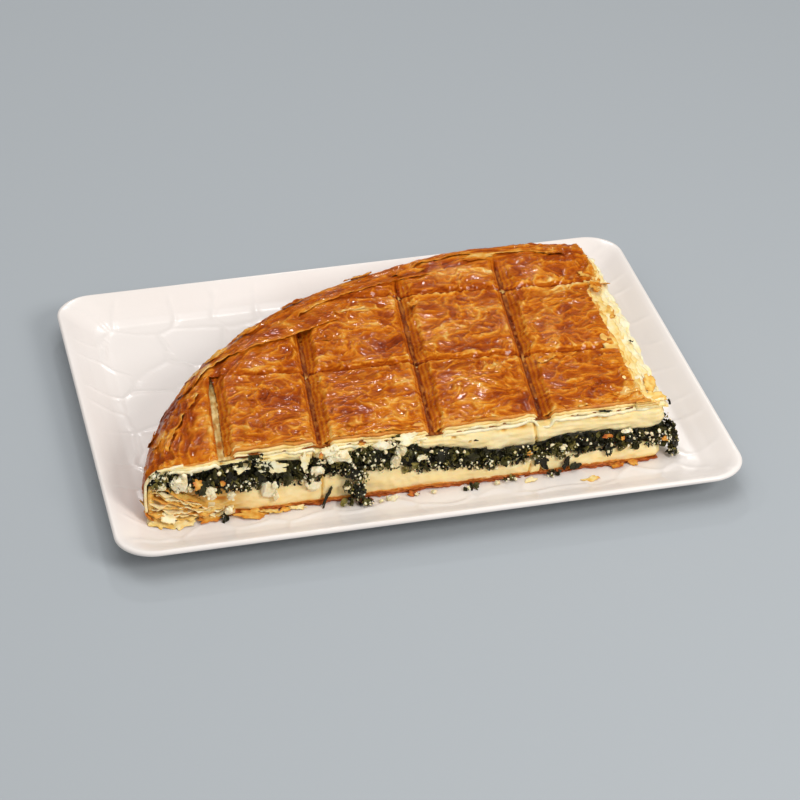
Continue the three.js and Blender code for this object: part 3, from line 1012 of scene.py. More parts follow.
SCRAPS = [  # x, y, half sizes, turn in degrees, seed, change of browning, lift
    (86, -43, 6, 2.6, 12, 1100, -0.2, 0.6), (-148, -70, 3, 6, -20, 1110, -0.04, 0.7),
    (-118, -3, 7, 5, 30, 1120, -0.06, 0.8), (24, 36, 4.5, 2.4, 40, 1130, -0.16, 0.6),
    (-14, 36, 10, 2.4, 8, 1140, -0.08, 0.6), (100, -70, 9, 4, -10, 1150, -0.08, 0.5),
    (-34, -84, 8, 3, 20, 1160, -0.06, 0.5), (36, -62, 10, 4, -15, 1170, 0.06, 0.5),
    (-84, -42, 8, 4, 30, 1180, 0.05, 0.5), (56, 18, 9, 4, 5, 1190, 0.05, 0.5),
    (108, 20, 9, 3.5, -12, 1200, -0.08, 0.6), (-26, 10, 10, 4, 25, 1210, -0.06, 0.5),
    (119, -88, 6, 4, 30, 1220, -0.16, 0.7), (136, 30, 3.5, 8, -10, 1230, -0.2, 0.9),
    (118, 76, 9, 3.5, -20, 1240, -0.14, 0.8), (75, 78, 10, 3.5, 5, 1250, -0.14, 0.7),
    (30, 72, 11, 3, 12, 1260, -0.1, 0.7), (-143, -30, 4, 8, -25, 1270, -0.14, 0.8),
    (-124, -22, 3.5, 9, -38, 1280, -0.06, 1.3), (-100, 10, 3, 9, -50, 1290, -0.16, 1.3),
    (-78, 30, 3, 10, -58, 1300, -0.14, 1.2), (-46, 53, 3, 8, -66, 1310, -0.1, 1.2),
    (0, 78, 3, 9, -74, 1320, -0.16, 1.2), (-152, -56, 3, 7, -14, 1330, -0.08, 1.4),
]
shells = [scrap_on_crust(*scrap) for scrap in SCRAPS]
settle_shells("crust_scraps", shells, crust_finish, "top_crust")

# %% [markdown]
# ## Sheet edges at the cuts
# Below the brown top the crust is a stack of sheets. Their cut edges show as a golden band that turns to
# cream further down. At the right the sheets are not pressed together: they fluff out well past the brown
# crust, with a few loose golden flakes between them.

# %% Pastry finish
pastry_stops = [
    (0.0, (255, 243, 206)), (0.2, (253, 224, 156)), (0.38, (242, 194, 98)), (0.55, (224, 148, 48)),
    (0.72, (194, 100, 26)), (0.88, (150, 64, 18)), (1.0, (104, 38, 12)),
]


def pastry_surface(name, grain_scale, grain, **shader):
    surface = Surface(name, **shader)
    fine = surface.noise(grain_scale, 4.0, (1.0, 1.0, 2.2))
    bake = surface.math("ADD", surface.stored("bake"), surface.math("MULTIPLY_ADD", fine, grain, -grain / 2))
    surface.bump(fine, 0.4, 0.0007)
    surface.colour(surface.ramp(bake, *pastry_stops))
    return surface


sheet_finish = pastry_surface("thin_filo", 420.0, 0.22, Roughness=0.5, Subsurface_Weight=0.12,
                              Subsurface_Scale=0.004)
dough_finish = pastry_surface("soft_dough", 230.0, 0.14, Roughness=0.46, Subsurface_Weight=0.18,
                              Subsurface_Scale=0.005)

# %% Sheets under the crust at the front and right
FRONT_SHEETS, RIGHT_SHEETS = 4, 8


def below_crust(x, y, gap):
    """The highest that a layer may reach, so that it stays inside the rounded rim."""
    beyond = np.clip(over_shoulder(x, y), 0, SHOULDER - 1.0) / (SHOULDER - 0.7)
    return RIM_TOP - ROUNDING * (1 - np.sqrt(1 - beyond**2)) - gap


def score_dip(x, y):
    """How far sheets near a column's score line are pressed down."""
    u, _ = on_grid(x, y)
    nearest = np.min([np.abs(u - line - 2.2) for line in COLUMNS], axis=0)
    return 4.4 * ease(6.5, 2.5, nearest)


def front_sheets():
    """Soft thick lips under the brown edge, golden at the top and cream below."""
    shells = []
    x = np.arange(-152, 142, 0.75)
    for level in range(FRONT_SHEETS):
        seed = 320 + 9 * level
        lower = level / (FRONT_SHEETS - 1)
        cut = np.minimum(crust_front(x), FRONT + 5.5) - 2.4 * lower
        along = np.column_stack([x, cut])
        reach = 0.6 + 1.5 * fractal(x / 19, 0 * x, seed) + 0.35 * noise(x / 4.1, 0 * x, seed + 3)
        reach = reach - 2.8 * ease(131, 141, x)
        dip = score_dip(x, cut)
        top = under_crust(x, cut) + TILE_TOP - 1.0 - dip - front_hang(x, 0 * x)
        stack = 4.8 - 2.6 * ease(-114, -121, x)
        wavy = 1.5 * fractal(x / 26, 0 * x, seed + 4) + 0.35 * noise(x / 8, 0 * x, seed + 5)
        height = np.clip(top - stack * lower + wavy * (0.25 + lower), top - stack - 0.6, top - 0.4 * lower)
        inland = 3.2 * ease(3, -8, over_shoulder(x, cut))
        height = np.minimum(height, below_crust(x, cut, 4.3 + 2.2 * lower - inland) - dip)
        height = height - 1.6 * (1 - lower) * ease(124, 134, x)
        bake = 0.54 - 0.56 * lower**0.5 + 0.12 * fractal(x / 12, 0 * x, seed + 6) - 0.16 * ease(122, 132, x)
        shells.append(edge_strip(along, (0, -1), height, np.maximum(reach, -2.0), 7.0, bake, fringe=0.06,
                                 droop=0.3, thickness=1.5))
    return shells


def right_sheets():
    """Loose pale sheets that fluff out past the crust in large soft waves."""
    shells = []
    y = np.arange(FRONT + 1.5, 101, 0.7)
    for level in range(RIGHT_SHEETS):
        seed = 420 + 9 * level
        lower = level / (RIGHT_SHEETS - 1)
        inset = crust_right(y)
        edge = 143.0 + 3.8 * ease(-90, 60, y) - 1.6 * ease(60, 98, y)
        gap = (edge - inset) * (0.12 + 0.88 * lower**0.8)
        reach = gap + 2.6 * fractal(y / 13, 0 * y, seed, 2) + 0.8 * noise(y / 4.2, 0 * y, seed + 1)
        path = np.column_stack([inset, y])
        climb = under_crust(inset, y) + TILE_TOP - 0.9 - 4.6 * lower
        sink = np.clip(over_shoulder(inset + 8, y) / 20, 0, 1.2)
        height = climb + 1.5 * fractal(y / 19, 0 * y, seed + 2, 2) - 14 * sink**2
        bake = 0.34 - 0.4 * lower**0.6 + 0.3 * fractal(y / 11, 0 * y, seed + 4)
        bake = bake + 0.16 * ease(6, 2, y - FRONT)
        shells.append(edge_strip(path, (1, 0.02), height, np.maximum(reach, -2), 6.0, bake, rows=16,
                                 droop=0.05 + 0.03 * lower, fringe=0.1, thickness=0.35))
    return shells


def skin_lining():
    """The pale sheet just inside the brown skin, where the left end was cut through."""
    rows, columns = 16, 30
    over, y = np.meshgrid(np.linspace(3, RIM_ARC[-1] - 7, columns), np.linspace(FRONT + 0.5, -82, rows))
    y = y + 0.7 * noise(over / 4, 0 * over, 571) * (y < FRONT + 3)
    angle = math.pi - np.arcsin((y - CENTRE[1]) / np.interp(over, RIM_ARC, RIM_RADIUS))
    flat = [values.ravel() for values in (angle, over, 0 * y + TILE_TOP - 1.0, 0 * y - 2.1)]
    tint = 0.1 + 0.12 * fractal(over / 5, y / 6, 572)
    return thin_sheet(drape(*flat).reshape(rows, columns, 3), 1.6, bake=tint)


shells = front_sheets() + [skin_lining()]
settle_shells("front_sheet_edges", shells, sheet_finish, "top_crust")
settle_shells("right_sheet_edges", right_sheets(), sheet_finish, "top_crust")

# %% [markdown]
# ## The soft layers
# Above and below the filling the dough stayed soft: cream, smooth, a little bulging where the knife pressed
# it, with pits, sheet lines and a few slits, which are painted darker as painted shade. Each layer is a ring
# of points round the slice, repeated from its underside to its top. Only the front and the right can be seen,
# so the ring is fine there and coarse along the round rim, where the crust covers it.

# %% Where the layers lie
LOWER_TOP = [  # heights over the plate along the front cut
    (-158, 24), (-144, 21), (-128, 18.8), (-106, 15.9), (-83, 15.8), (-60, 17.6), (-26, 17), (3, 12.6),
    (44, 9.7), (67, 11.6), (91, 9.4), (114, 11.9), (140, 10.5),
]
FILLING_TOP = [
    (-156, 32.6), (-128, 30.9), (-105, 34), (-83, 31.1), (-66, 29.9), (-49, 26.5), (-32, 32), (-17, 35.4),
    (3, 26.5), (26, 22.9), (44, 19.4), (61, 18.8), (79, 23.5), (102, 23.3), (126, 21.1), (143, 22.1),
]


def smooth_line(keys, x):
    """A smooth line through a few (place, height) pairs."""
    places, heights = np.array(keys, float).T
    index = np.clip(np.searchsorted(places, x) - 1, 0, len(places) - 2)
    share = ease(0, 1, (x - places[index]) / (places[index + 1] - places[index]))
    return heights[index] + (heights[index + 1] - heights[index]) * share


def filling_under(x, y):
    at_front = ease(30, 6, y - FRONT)
    inner = boundary(x, y, 16.5, 11, 0)
    ragged = 0.5 * noise(x / 7, y / 7, 501)
    return inner + (WELL + smooth_line(LOWER_TOP, x) - inner) * at_front + ragged


def filling_over(x, y):
    at_front = ease(30, 6, y - FRONT)
    inner = boundary(x, y, 30, 21.5, 40)
    ragged = 0.9 * fractal(x / 8, y / 8, 502)
    height = inner + (WELL + smooth_line(FILLING_TOP, x) - inner) * at_front + ragged
    return np.minimum(height, below_crust(x, y, 4.0))


def soft_top(x, y):
    return np.minimum(under_crust(x, y) + 0.2, below_crust(x, y, 3.6))


# %% A layer from rings of points
HEART = np.array([50.0, -20.0])  # every ring can shrink towards this point without folding
OUTLINE_STEP = 0.8
CORNER = 2.4  # how far the near right corner is rounded off
EDGE_ROUNDING = 1.7  # of a layer's upper and lower edge
CAP_INSETS = (30, 14, 6, 2.2)  # rings that close a layer below and above


def slice_outline(front_inset, right_inset):
    """Points and outward directions round the slice; right_inset is (near, far)."""
    radius = RADIUS - 2.8
    front = FRONT + front_inset
    left = CENTRE[0] - math.sqrt(radius**2 - (front - CENTRE[1]) ** 2)
    corner = RIGHT - right_inset[0]
    x = np.arange(left, corner, OUTLINE_STEP)
    near = np.column_stack([x, front + CORNER * ease(corner - 4, corner, x) ** 2])
    top = CENTRE[1] + math.sqrt(radius**2 - (RIGHT - right_inset[1] - CENTRE[0]) ** 2)
    y = np.arange(front + 2.6, top, OUTLINE_STEP)
    inset = right_inset[0] + (right_inset[1] - right_inset[0]) * ease(5, 60, y)
    rounding = CORNER * ease(front + 5, front + 1, y) ** 2
    side = np.column_stack([RIGHT - inset - rounding, y])
    start = math.atan2(top - CENTRE[1], side[-1, 0] - CENTRE[0])
    end = math.atan2(front - CENTRE[1], left - CENTRE[0])
    angle = np.linspace(start, end, 70)[1:-1]
    arc = CENTRE + radius * np.column_stack([np.cos(angle), np.sin(angle)])
    outline = np.vstack([near, side, arc])
    ahead, behind = np.roll(outline, -2, 0), np.roll(outline, 2, 0)
    tangent = ahead - behind
    normal = np.column_stack([tangent[:, 1], -tangent[:, 0]])
    return outline, normal / np.linalg.norm(normal, axis=1, keepdims=True)


def layer(name, insets, low, high, push, material, rings):
    """A closed layer between two height functions; push moves its side outwards."""
    outline, normal = slice_outline(*insets)
    levels = [(0.0, inset) for inset in CAP_INSETS]
    for share in np.linspace(0, 1, rings):
        edge = min(share, 1 - share) * 2
        levels.append((share, EDGE_ROUNDING * (1 - math.sqrt(1 - (1 - min(edge * 2.2, 1)) ** 2))))
    levels += [(1.0, inset) for inset in CAP_INSETS[::-1]]
    reach = np.linalg.norm(outline - HEART, axis=1, keepdims=True)
    points, bakes = [], []
    for share, inset in levels:
        spot = HEART + (outline - HEART) * (1 - inset / reach)
        bottom, top = low(spot[:, 0], spot[:, 1]), high(spot[:, 0], spot[:, 1])
        z = bottom + (top - bottom - 0.12 * max(inset - 6, 0)) * share
        moved, bake = push(spot[:, 0], spot[:, 1], z, share, normal)
        spot = spot + normal * (moved * (inset < 2))[:, None]
        points.append(np.column_stack([spot, z]))
        bakes.append(bake)
    count = len(outline)
    faces = grid_faces(len(levels), count, wrap=True)
    piece = new_piece(name, np.vstack(points), faces, material, bake=np.concatenate(bakes))
    close = bmesh.new()
    close.from_mesh(piece.data)
    bmesh.ops.holes_fill(close, edges=[edge for edge in close.edges if edge.is_boundary])
    bmesh.ops.triangulate(close, faces=[face for face in close.faces if len(face.verts) > 4])
    bmesh.ops.recalc_face_normals(close, faces=close.faces)
    close.to_mesh(piece.data)
    close.free()
    return piece


# %% The upper soft layer


def slit(x, z, foot, lean, low, high, width=0.6):
    """How deep in a narrow slit a place is, from 0 to 1."""
    away = (x - foot - lean * (z - low)) / width
    return np.exp(-(away**2)) * ease(low - 1, low + 1, z) * ease(high + 1, high - 1, z)


UPPER_PITS = [  # x, height, half width, half height
    (96, 41.5, 3.0, 1.3), (100, 39.8, 2.2, 1.1), (56, 39.6, 3.6, 1.3), (46, 39.4, 2.0, 0.8),
    (105, 39, 1.6, 0.8), (-38, 42.5, 3.4, 0.9), (-10, 42.6, 3.2, 0.9), (17, 38.6, 1.6, 0.7),
    (-118, 40.6, 4.0, 0.9), (-141, 39.8, 3.0, 0.8), (-92, 40.8, 3.5, 0.8), (26, 35.0, 1.0, 0.6),
]


def upper_push(x, y, z, share, _):
    along = x + y
    line = creases(along / 26, (z + 2.5 * noise(along / 19, 0 * x, 513)) / 3.4, 514, 3.0)
    bulge = 1.7 * math.sin(share * math.pi) + 1.2 * fractal(along / 17, z / 8, 511)
    bulge = bulge + 0.25 * noise(along / 4, z / 3, 512)
    depth = np.zeros_like(x)
    for px, pz, wide, tall in UPPER_PITS:
        at_front = y < FRONT + 3
        depth = np.maximum(depth, at_front * ease(1.3, 0.3, np.hypot((x - px) / wide, (z - pz) / tall)))
    cut = slit(x, z, 66, -0.12, 24, 50) + slit(x, z, -64, 0.1, 34, 50, 0.5) + slit(x, z, -2, 0.1, 37, 50, 0.4)
    cut = cut * (y < FRONT + 3)
    # painted shade: the sheet lines, the pits and the slits are painted darker
    bake = 0.13 + 0.07 * fractal(along / 12, z / 6, 515) + 0.12 * line * ease(0.3, 0.9, share)
    bake = bake + 0.42 * depth + 0.3 * cut + 0.1 * ease(0.75, 1.0, share)
    return bulge - 0.4 - 0.8 * line - 2.6 * depth - 2.2 * cut, bake


upper_layer = layer("upper_soft_layer", (1.6, (5.5, 1.0)), lambda x, y: filling_over(x, y) - 0.9, soft_top,
                    upper_push, dough_finish.material, 18)
settle(upper_layer, "upper_pastry")

# %% The lower soft layer


def lower_push(x, y, z, share, normal):
    along = x + y
    above = z - WELL
    at_front = y < FRONT + 3
    bulge = 1.2 * math.sin(share * math.pi) + 1.0 * fractal(along / 14, z / 7, 521)
    bulge = bulge + 0.3 * noise(along / 4, z / 3, 522)
    cut = slit(x, z, -59.5, 0.04, 10, 40) + slit(x, z, 67.5, 0.1, 7, 24, 0.7)
    cut = (cut + slit(x, z, 60, 0.25, 8, 15, 0.5)) * at_front
    flaky = ease(-98, -118, x) * at_front
    line = creases(along / 15, (z + 3 * noise(along / 13, 0 * x, 523)) / 3.2, 524, 2.0)
    # painted shade: the slits and the gaps between the flaky sheets at the left are painted darker
    bake = 0.17 + 0.08 * fractal(along / 10, z / 4, 525) + 0.25 * cut + flaky * (0.06 + 0.34 * (1 - line))
    browned = ease(3.3, 0.9, above + 1.0 * noise(along / 8, 0 * x, 526))
    bake = bake + (0.5 + 0.16 * noise(along / 6, 0 * x, 527)) * browned * (1 - 0.7 * flaky)
    pull = -1.2 * ease(2.0, 0.2, above)
    facing = ease(-0.15, 0.3, -normal[:, 1])
    return bulge * (1 - flaky) - 2.0 * cut + pull + flaky * (0.9 * line - 3.6) * facing, bake


lower_layer = layer("lower_soft_layer", (0.6, (8.0, 2.0)), lambda x, y: 0 * x + WELL + 0.35,
                    lambda x, y: filling_under(x, y) + 0.6, lower_push, dough_finish.material, 20)
settle(lower_layer, "lower_pastry")

# %% [markdown]
# ## Frills at the bottom
# The lowest sheets fried in butter on the tin, so they are thin, brittle and orange-brown, and they stick
# out under the soft layer. At the left tip the sheets came apart into many pale frills.

# %% Frills


def frill(path, out, height, reach, seed, bake, rise=0.6, wave=6.0, climb=0.0, thickness=0.3):
    """A frilly strip along a path; reach, height and bake are typical values that noise varies."""
    steps = np.linalg.norm(np.diff(path, axis=0), axis=1)
    run = np.append(0, np.cumsum(steps))
    ends = np.clip(np.minimum(run, run[-1] - run) / 5, 0, 1)
    far = reach * (0.5 + 0.8 * fractal(run / 9, 0 * run, seed)) + 0.7 * noise(run / 2.1, 0 * run, seed + 1)
    z = WELL + height + rise * noise(run / wave, 0 * run, seed + 2)
    z = z + 0.35 * noise(run / 2.6, 0 * run, seed + 3)
    z = np.maximum(z + climb * run / run[-1], WELL + 0.35)
    tint = bake + 0.14 * fractal(run / 8, 0 * run, seed + 4)
    shell = edge_strip(path, out, z, far * ends, 4.0, tint, rows=9, thickness=thickness, fringe=0.12)
    shell[0][:, 2] = np.maximum(shell[0][:, 2], WELL + 0.2)
    return shell


def front_path(start, end):
    x = np.arange(start, end, 0.6)
    return np.column_stack([x, np.full(len(x), FRONT)])


def rim_path(start, end):
    """Along the round rim at the left tip, from one y to another, with its outward directions."""
    y = np.arange(start, end, 0.6)
    sine = (y - CENTRE[1]) / (RADIUS - 3)
    out = np.column_stack([-np.sqrt(1 - sine**2), sine])
    return CENTRE + out * (RADIUS - 3), out


frills = []
for number in range(5):
    path = front_path(-120 + 9 * number, 138 - 4 * number)
    height, reach = 0.5 + 0.6 * number, 2.6 - 0.25 * number
    frills.append(frill(path, (0, -1), height, reach, 540 + 6 * number, 0.72 - 0.05 * number))
for number in range(12):  # a fan that opens from the left end
    height, reach = 1.6 + 2.2 * number, 5.4 - 0.1 * number
    start = -159 + 0.3 * number + 1.8 * (number % 3)
    path = front_path(start, start + 50 - 2.2 * number)
    browning = (0.02, 0.26, 0.08, 0.4)[number % 4]
    frills.append(frill(path, (-0.25, -1), height, reach, 600 + 6 * number, browning,
                        rise=2.6, wave=8.0, climb=-1.5 * number, thickness=0.45))
for number in range(4):
    path, out = rim_path(FRONT + 0.4 * number, -70 - 3 * (number % 3))
    height, reach = 0.9 + 2.3 * number, 4.4 - 0.3 * number
    frills.append(frill(path, out, height, reach, 760 + 6 * number, (0.35, 0.6)[number % 2],
                        rise=1.6, wave=9.0))
settle_shells("bottom_frills", frills, sheet_finish, "lower_pastry")

# %% [markdown]
# ## Loose flakes
# Brittle flakes broke off and lie where they fell: on the plate, along the rim, over the fluffy edge. A few
# soft flaps of dough hang over the filling. One small recipe makes them all: a grid squeezed to a torn
# round outline, bent by noise, and turned to lie as it should.

# %% Flakes and flaps


def loose_flake(place, half, turns, value, seed, bend=0.5, thickness=0.3, key="bake"):
    """A torn flake: half sizes in mm, turns about x, y and z in degrees, and the number it stores."""
    a, b = np.meshgrid(np.linspace(-1, 1, 18), np.linspace(-1, 1, 14))
    round_a, round_b = a * np.sqrt(1 - b**2 / 2), b * np.sqrt(1 - a**2 / 2)
    way = np.arctan2(round_b, round_a)
    torn = 1 + 0.55 * noise(1.6 * np.cos(way), 1.6 * np.sin(way), seed)
    torn = torn + 0.22 * noise(5 * np.cos(way), 5 * np.sin(way), seed + 1)
    across, along = round_a * torn * half[0], round_b * torn * half[1]
    waves = 1.5 * fractal(across / 6, along / 6, seed + 2)
    lift = bend * (waves + 0.4 * noise(across / 2, along / 2, seed + 3))
    turn = np.array(Euler([math.radians(degrees) for degrees in turns]).to_matrix())
    spots = np.stack([across, along, lift], -1) @ turn.T + np.array(place) + (0, 0, WELL)
    spots[..., 2] = np.maximum(spots[..., 2], WELL + 0.3)
    shade = value + 0.1 * (round_a**2 + round_b**2) ** 2 + 0.2 * noise(across / 3, along / 3, seed + 4)
    return thin_sheet(spots, thickness, **{key: shade})


FLAKES = [  # place with its height over the plate, half sizes, turns, browning
    ((138, 52, 38), (10, 5), (0, 14, 40), 0.42), ((144, 40, 36), (6, 4), (0, 30, 70), 0.5),
    ((135, 3, 39), (4.5, 9), (0, 14, 4), 0.46), ((138, -76, 37.2), (4, 7), (4, 22, -12), 0.38),
    ((135, -91, 37.6), (7, 4), (10, 14, -10), 0.28),
    ((-100, -103.2, 1.5), (9, 3.6), (10, 4, 4), 0.46), ((-89, -102.8, 1.6), (6, 3), (-8, 0, -12), 0.3),
    ((-81, -102.6, 1.4), (3.6, 1.6), (16, 6, 15), 0.5), ((-74, -102.4, 1.3), (5, 1.4), (10, 2, -4), 0.16),
    ((-151, -102, 2.6), (7, 4.4), (26, 10, -15), 0.3), ((-139, -104, 1.6), (7, 3.4), (14, -6, 8), 0.18),
    ((-157, -98, 6), (4, 3.4), (20, 40, 20), 0.55), ((-124, -103.2, 1.6), (8, 2.6), (14, 4, 0), 0.5),
    ((-159, -95, 11), (3, 4), (0, 60, 10), 0.4), ((-147, -102.4, 6), (6, 3), (40, 10, -10), 0.05),
    ((-88, -100.6, 29), (8, 3.6), (70, 0, -8), 0.02), ((-104, -100.4, 31.5), (5, 2.4), (72, 0, 10), 0.08),
    ((-69, -101, 30), (2.6, 5.6), (80, 8, 4), 0.04), ((-54, -100.8, 35), (6, 3), (66, 0, -6), 0.03),
    ((-10, -100.8, 36.5), (8, 3), (66, 0, 6), 0.04), ((60, -106, 1.2), (3.6, 1.6), (8, 0, 10), 0.08),
    ((94, -112, 1.0), (4.6, 1.8), (4, 0, 6), 0.3), ((112, -102.6, 1.4), (4.2, 2.2), (14, 0, 8), 0.6),
    ((122, -102.6, 1.8), (2.6, 2), (20, 10, -20), 0.56), ((-36, -103.5, 1.0), (4, 2), (8, 0, 0), 0.8),
    ((-8, -103.4, 1.0), (3.4, 1.8), (8, 0, 0), 0.78),
    # orange bits in the filling and on the dough
    ((-130, -102.8, 25.7), (2.4, 2.5), (72, 0, 10), 0.5), ((140, -102.6, 15), (1.5, 1.3), (70, 10, 0), 0.52),
    ((106, -102.4, 22), (3, 1.5), (72, 0, -8), 0.6), ((115, -102.4, 19), (1.6, 1.1), (70, 0, 30), 0.54),
    ((-37, -102.0, 38), (2.0, 0.8), (70, 0, 0), 0.5), ((-60, -102.2, 33.7), (1.0, 2.0), (70, 0, 20), 0.55),
    ((60, -102.6, 17), (1.4, 1.2), (70, 0, 0), 0.5), ((-116, -102.6, 24), (1.3, 1.5), (70, 0, 0), 0.56),
]
shells = [loose_flake(*flake, 1400 + 10 * number) for number, flake in enumerate(FLAKES)]
settle_shells("loose_flakes", shells, sheet_finish, "top_crust")

# %% Torn edges that stand off the round rim
RIM_FLAKES = [  # angle in degrees, height over the plate, half length, browning
    (155, 27, 9, 0.45), (148, 22, 6, 0.5), (141.5, 28, 12, 0.36), (131, 29, 10, 0.45),
    (122, 27, 13, 0.5), (109, 30, 11, 0.42), (99, 22, 8, 0.5), (89, 30, 12, 0.46),
]
shells = []
for number, (degrees, height, length, browning) in enumerate(RIM_FLAKES):
    turned = math.radians(degrees)
    place = (*(CENTRE + (RADIUS - 0.4) * np.array([math.cos(turned), math.sin(turned)])), height)
    shells.append(loose_flake(place, (2.6, length), (0, 74, degrees), browning, 1800 + 10 * number))
settle_shells("rim_flakes", shells, crust_finish, "top_crust")

# %% [markdown]
# ## The filling
# The filling is chopped spinach and dill, cooked down to nearly black, with crumbled feta. Its body is a
# dark lumpy core. What the eye sees are single scraps of leaf and white crumbs, so those are real small
# pieces, scattered over the core where it shows at the cuts.

# %% The filling's dark core
core_finish = Surface("wilted_greens", Roughness=0.45)
core_finish.bump(core_finish.noise(500.0, 4.0), 0.8, 0.0012)
core_finish.colour(core_finish.ramp(
    core_finish.noise(330.0, 4.0), (0.3, (16, 14, 6)), (0.5, (32, 30, 13)), (0.64, (56, 52, 24)),
    (0.78, (112, 102, 66)),
))


def core_push(x, y, z, *_):
    lumps = 1.2 * fractal((x + y) / 6, z / 4, 531) + 0.7 * noise((x + y) / 2.2, z / 2, 532)
    return lumps - 0.4, 0 * x


core = layer("filling_core", (2.2, (4.2, 2.4)), filling_under, filling_over, core_push,
             core_finish.material, 12)
settle(core, "spinach_feta_filling")

# %% [markdown]
# ## Scattering scraps and crumbs
# Geometry Nodes put one of a few small shapes on every point of a point cloud, turn it at random, scale it
# by a number that the point carries, and store a random tone for its colour. The point clouds are worked out
# here, because they follow the wavy edges of the filling. Realize Instances turns the result into one mesh.

# %% The small shapes


def scrap_shape(seed):
    """A crumpled scrap of leaf about 2 mm across, to be scaled."""
    a, b = np.meshgrid(np.linspace(-1, 1, 4), np.linspace(-1, 1, 4))
    rng = np.random.default_rng(seed)
    curl, twist = rng.uniform(-0.9, 0.9), rng.uniform(-1.2, 1.2)
    x = a * (1 - 0.25 * np.abs(b)) + 0.15 * noise(a * 1.3, b, seed)
    y = b * 0.62 * (1 - 0.35 * a**2) + 0.12 * noise(a, b * 1.3, seed + 1)
    z = curl * a**2 * 0.7 + twist * a * b * 0.5 + 0.5 * noise(a * 1.6, b * 1.6, seed + 2)
    points, faces, _ = thin_sheet(np.stack([x, y, z], -1), 0.12)
    return points, faces


def crumb_shape(seed):
    """An angular crumb about 2 mm across."""
    ball = bmesh.new()
    bmesh.ops.create_icosphere(ball, subdivisions=2, radius=1.0)
    points = np.array([vert.co for vert in ball.verts])
    faces = np.array([[vert.index for vert in face.verts] for face in ball.faces])
    ball.free()
    rng = np.random.default_rng(seed)
    cuts = rng.normal(size=(7, 3))
    cuts /= np.linalg.norm(cuts, axis=1, keepdims=True)
    depth = rng.uniform(0.35, 0.75, 7)
    for cut, limit in zip(cuts, depth):
        beyond = np.maximum(points @ cut - limit, 0)
        points = points - 0.9 * beyond[:, None] * cut
    return points * (1.15, 0.95, 0.8) + rng.normal(scale=0.05, size=points.shape), faces


def make_kit(name, shapes, material):
    """A collection of small shapes for the scatter; it never enters the scene itself."""
    kit = bpy.data.collections.new(name)
    for number, (points, faces) in enumerate(shapes):
        shape = new_piece(f"{name}_{number}", points, faces, material)
        bpy.context.scene.collection.objects.unlink(shape)
        kit.objects.link(shape)
    return kit


# %% The scatter tree


def scatter_tree(material):
    tree = bpy.data.node_groups.new("scatter_small_bits", "GeometryNodeTree")
    sockets = tree.interface
    sockets.new_socket("Points", in_out="INPUT", socket_type="NodeSocketGeometry")
    kinds = {"Shapes": "Collection", "Smallest": "Float", "Largest": "Float", "Seed": "Int"}
    for name, kind in kinds.items():
        sockets.new_socket(name, in_out="INPUT", socket_type="NodeSocket" + kind)
    sockets.new_socket("Bits", in_out="OUTPUT", socket_type="NodeSocketGeometry")

    def add(kind, **settings):
        node = tree.nodes.new(kind)
        for key, value in settings.items():
            setattr(node, key, value)
        return node

    link = tree.links.new
    given, result = add("NodeGroupInput"), add("NodeGroupOutput")
    shapes = add("GeometryNodeCollectionInfo")
    shapes.inputs["Separate Children"].default_value = True
    shapes.inputs["Reset Children"].default_value = True
    link(given.outputs["Shapes"], shapes.inputs["Collection"])
    place = add("GeometryNodeInstanceOnPoints")
    place.inputs["Pick Instance"].default_value = True
    cloud = add("GeometryNodeMeshToPoints")
    link(given.outputs["Points"], cloud.inputs["Mesh"])
    link(cloud.outputs["Points"], place.inputs["Points"])
    link(shapes.outputs[0], place.inputs["Instance"])
    which = add("FunctionNodeRandomValue", data_type="INT")
    which.inputs[5].default_value = 40
    link(given.outputs["Seed"], which.inputs["Seed"])
    link(which.outputs[2], place.inputs["Instance Index"])
    turn_by = add("FunctionNodeRandomValue", data_type="FLOAT_VECTOR")
    turn_by.inputs[1].default_value = (6.283, 6.283, 6.283)
    link(given.outputs["Seed"], turn_by.inputs["Seed"])
    link(turn_by.outputs[0], place.inputs["Rotation"])
    size = add("FunctionNodeRandomValue", data_type="FLOAT")
    link(given.outputs["Smallest"], size.inputs[2])
    link(given.outputs["Largest"], size.inputs[3])
    link(given.outputs["Seed"], size.inputs["Seed"])
    own = add("GeometryNodeInputNamedAttribute", data_type="FLOAT")
    own.inputs["Name"].default_value = "size"
    scaled = add("ShaderNodeMath", operation="MULTIPLY")
    link(size.outputs[1], scaled.inputs[0])
    link(own.outputs[0], scaled.inputs[1])
    link(scaled.outputs[0], place.inputs["Scale"])
    tone = add("FunctionNodeRandomValue", data_type="FLOAT")
    link(given.outputs["Seed"], tone.inputs["Seed"])
    store = add("GeometryNodeStoreNamedAttribute", data_type="FLOAT", domain="INSTANCE")
    store.inputs["Name"].default_value = "tone"
    link(place.outputs[0], store.inputs["Geometry"])
    link(tone.outputs[1], store.inputs["Value"])
    realize, paint = add("GeometryNodeRealizeInstances"), add("GeometryNodeSetMaterial")
    paint.inputs["Material"].default_value = material
    link(store.outputs[0], realize.inputs[0])
    link(realize.outputs[0], paint.inputs["Geometry"])
    link(paint.outputs[0], result.inputs[0])
    return tree


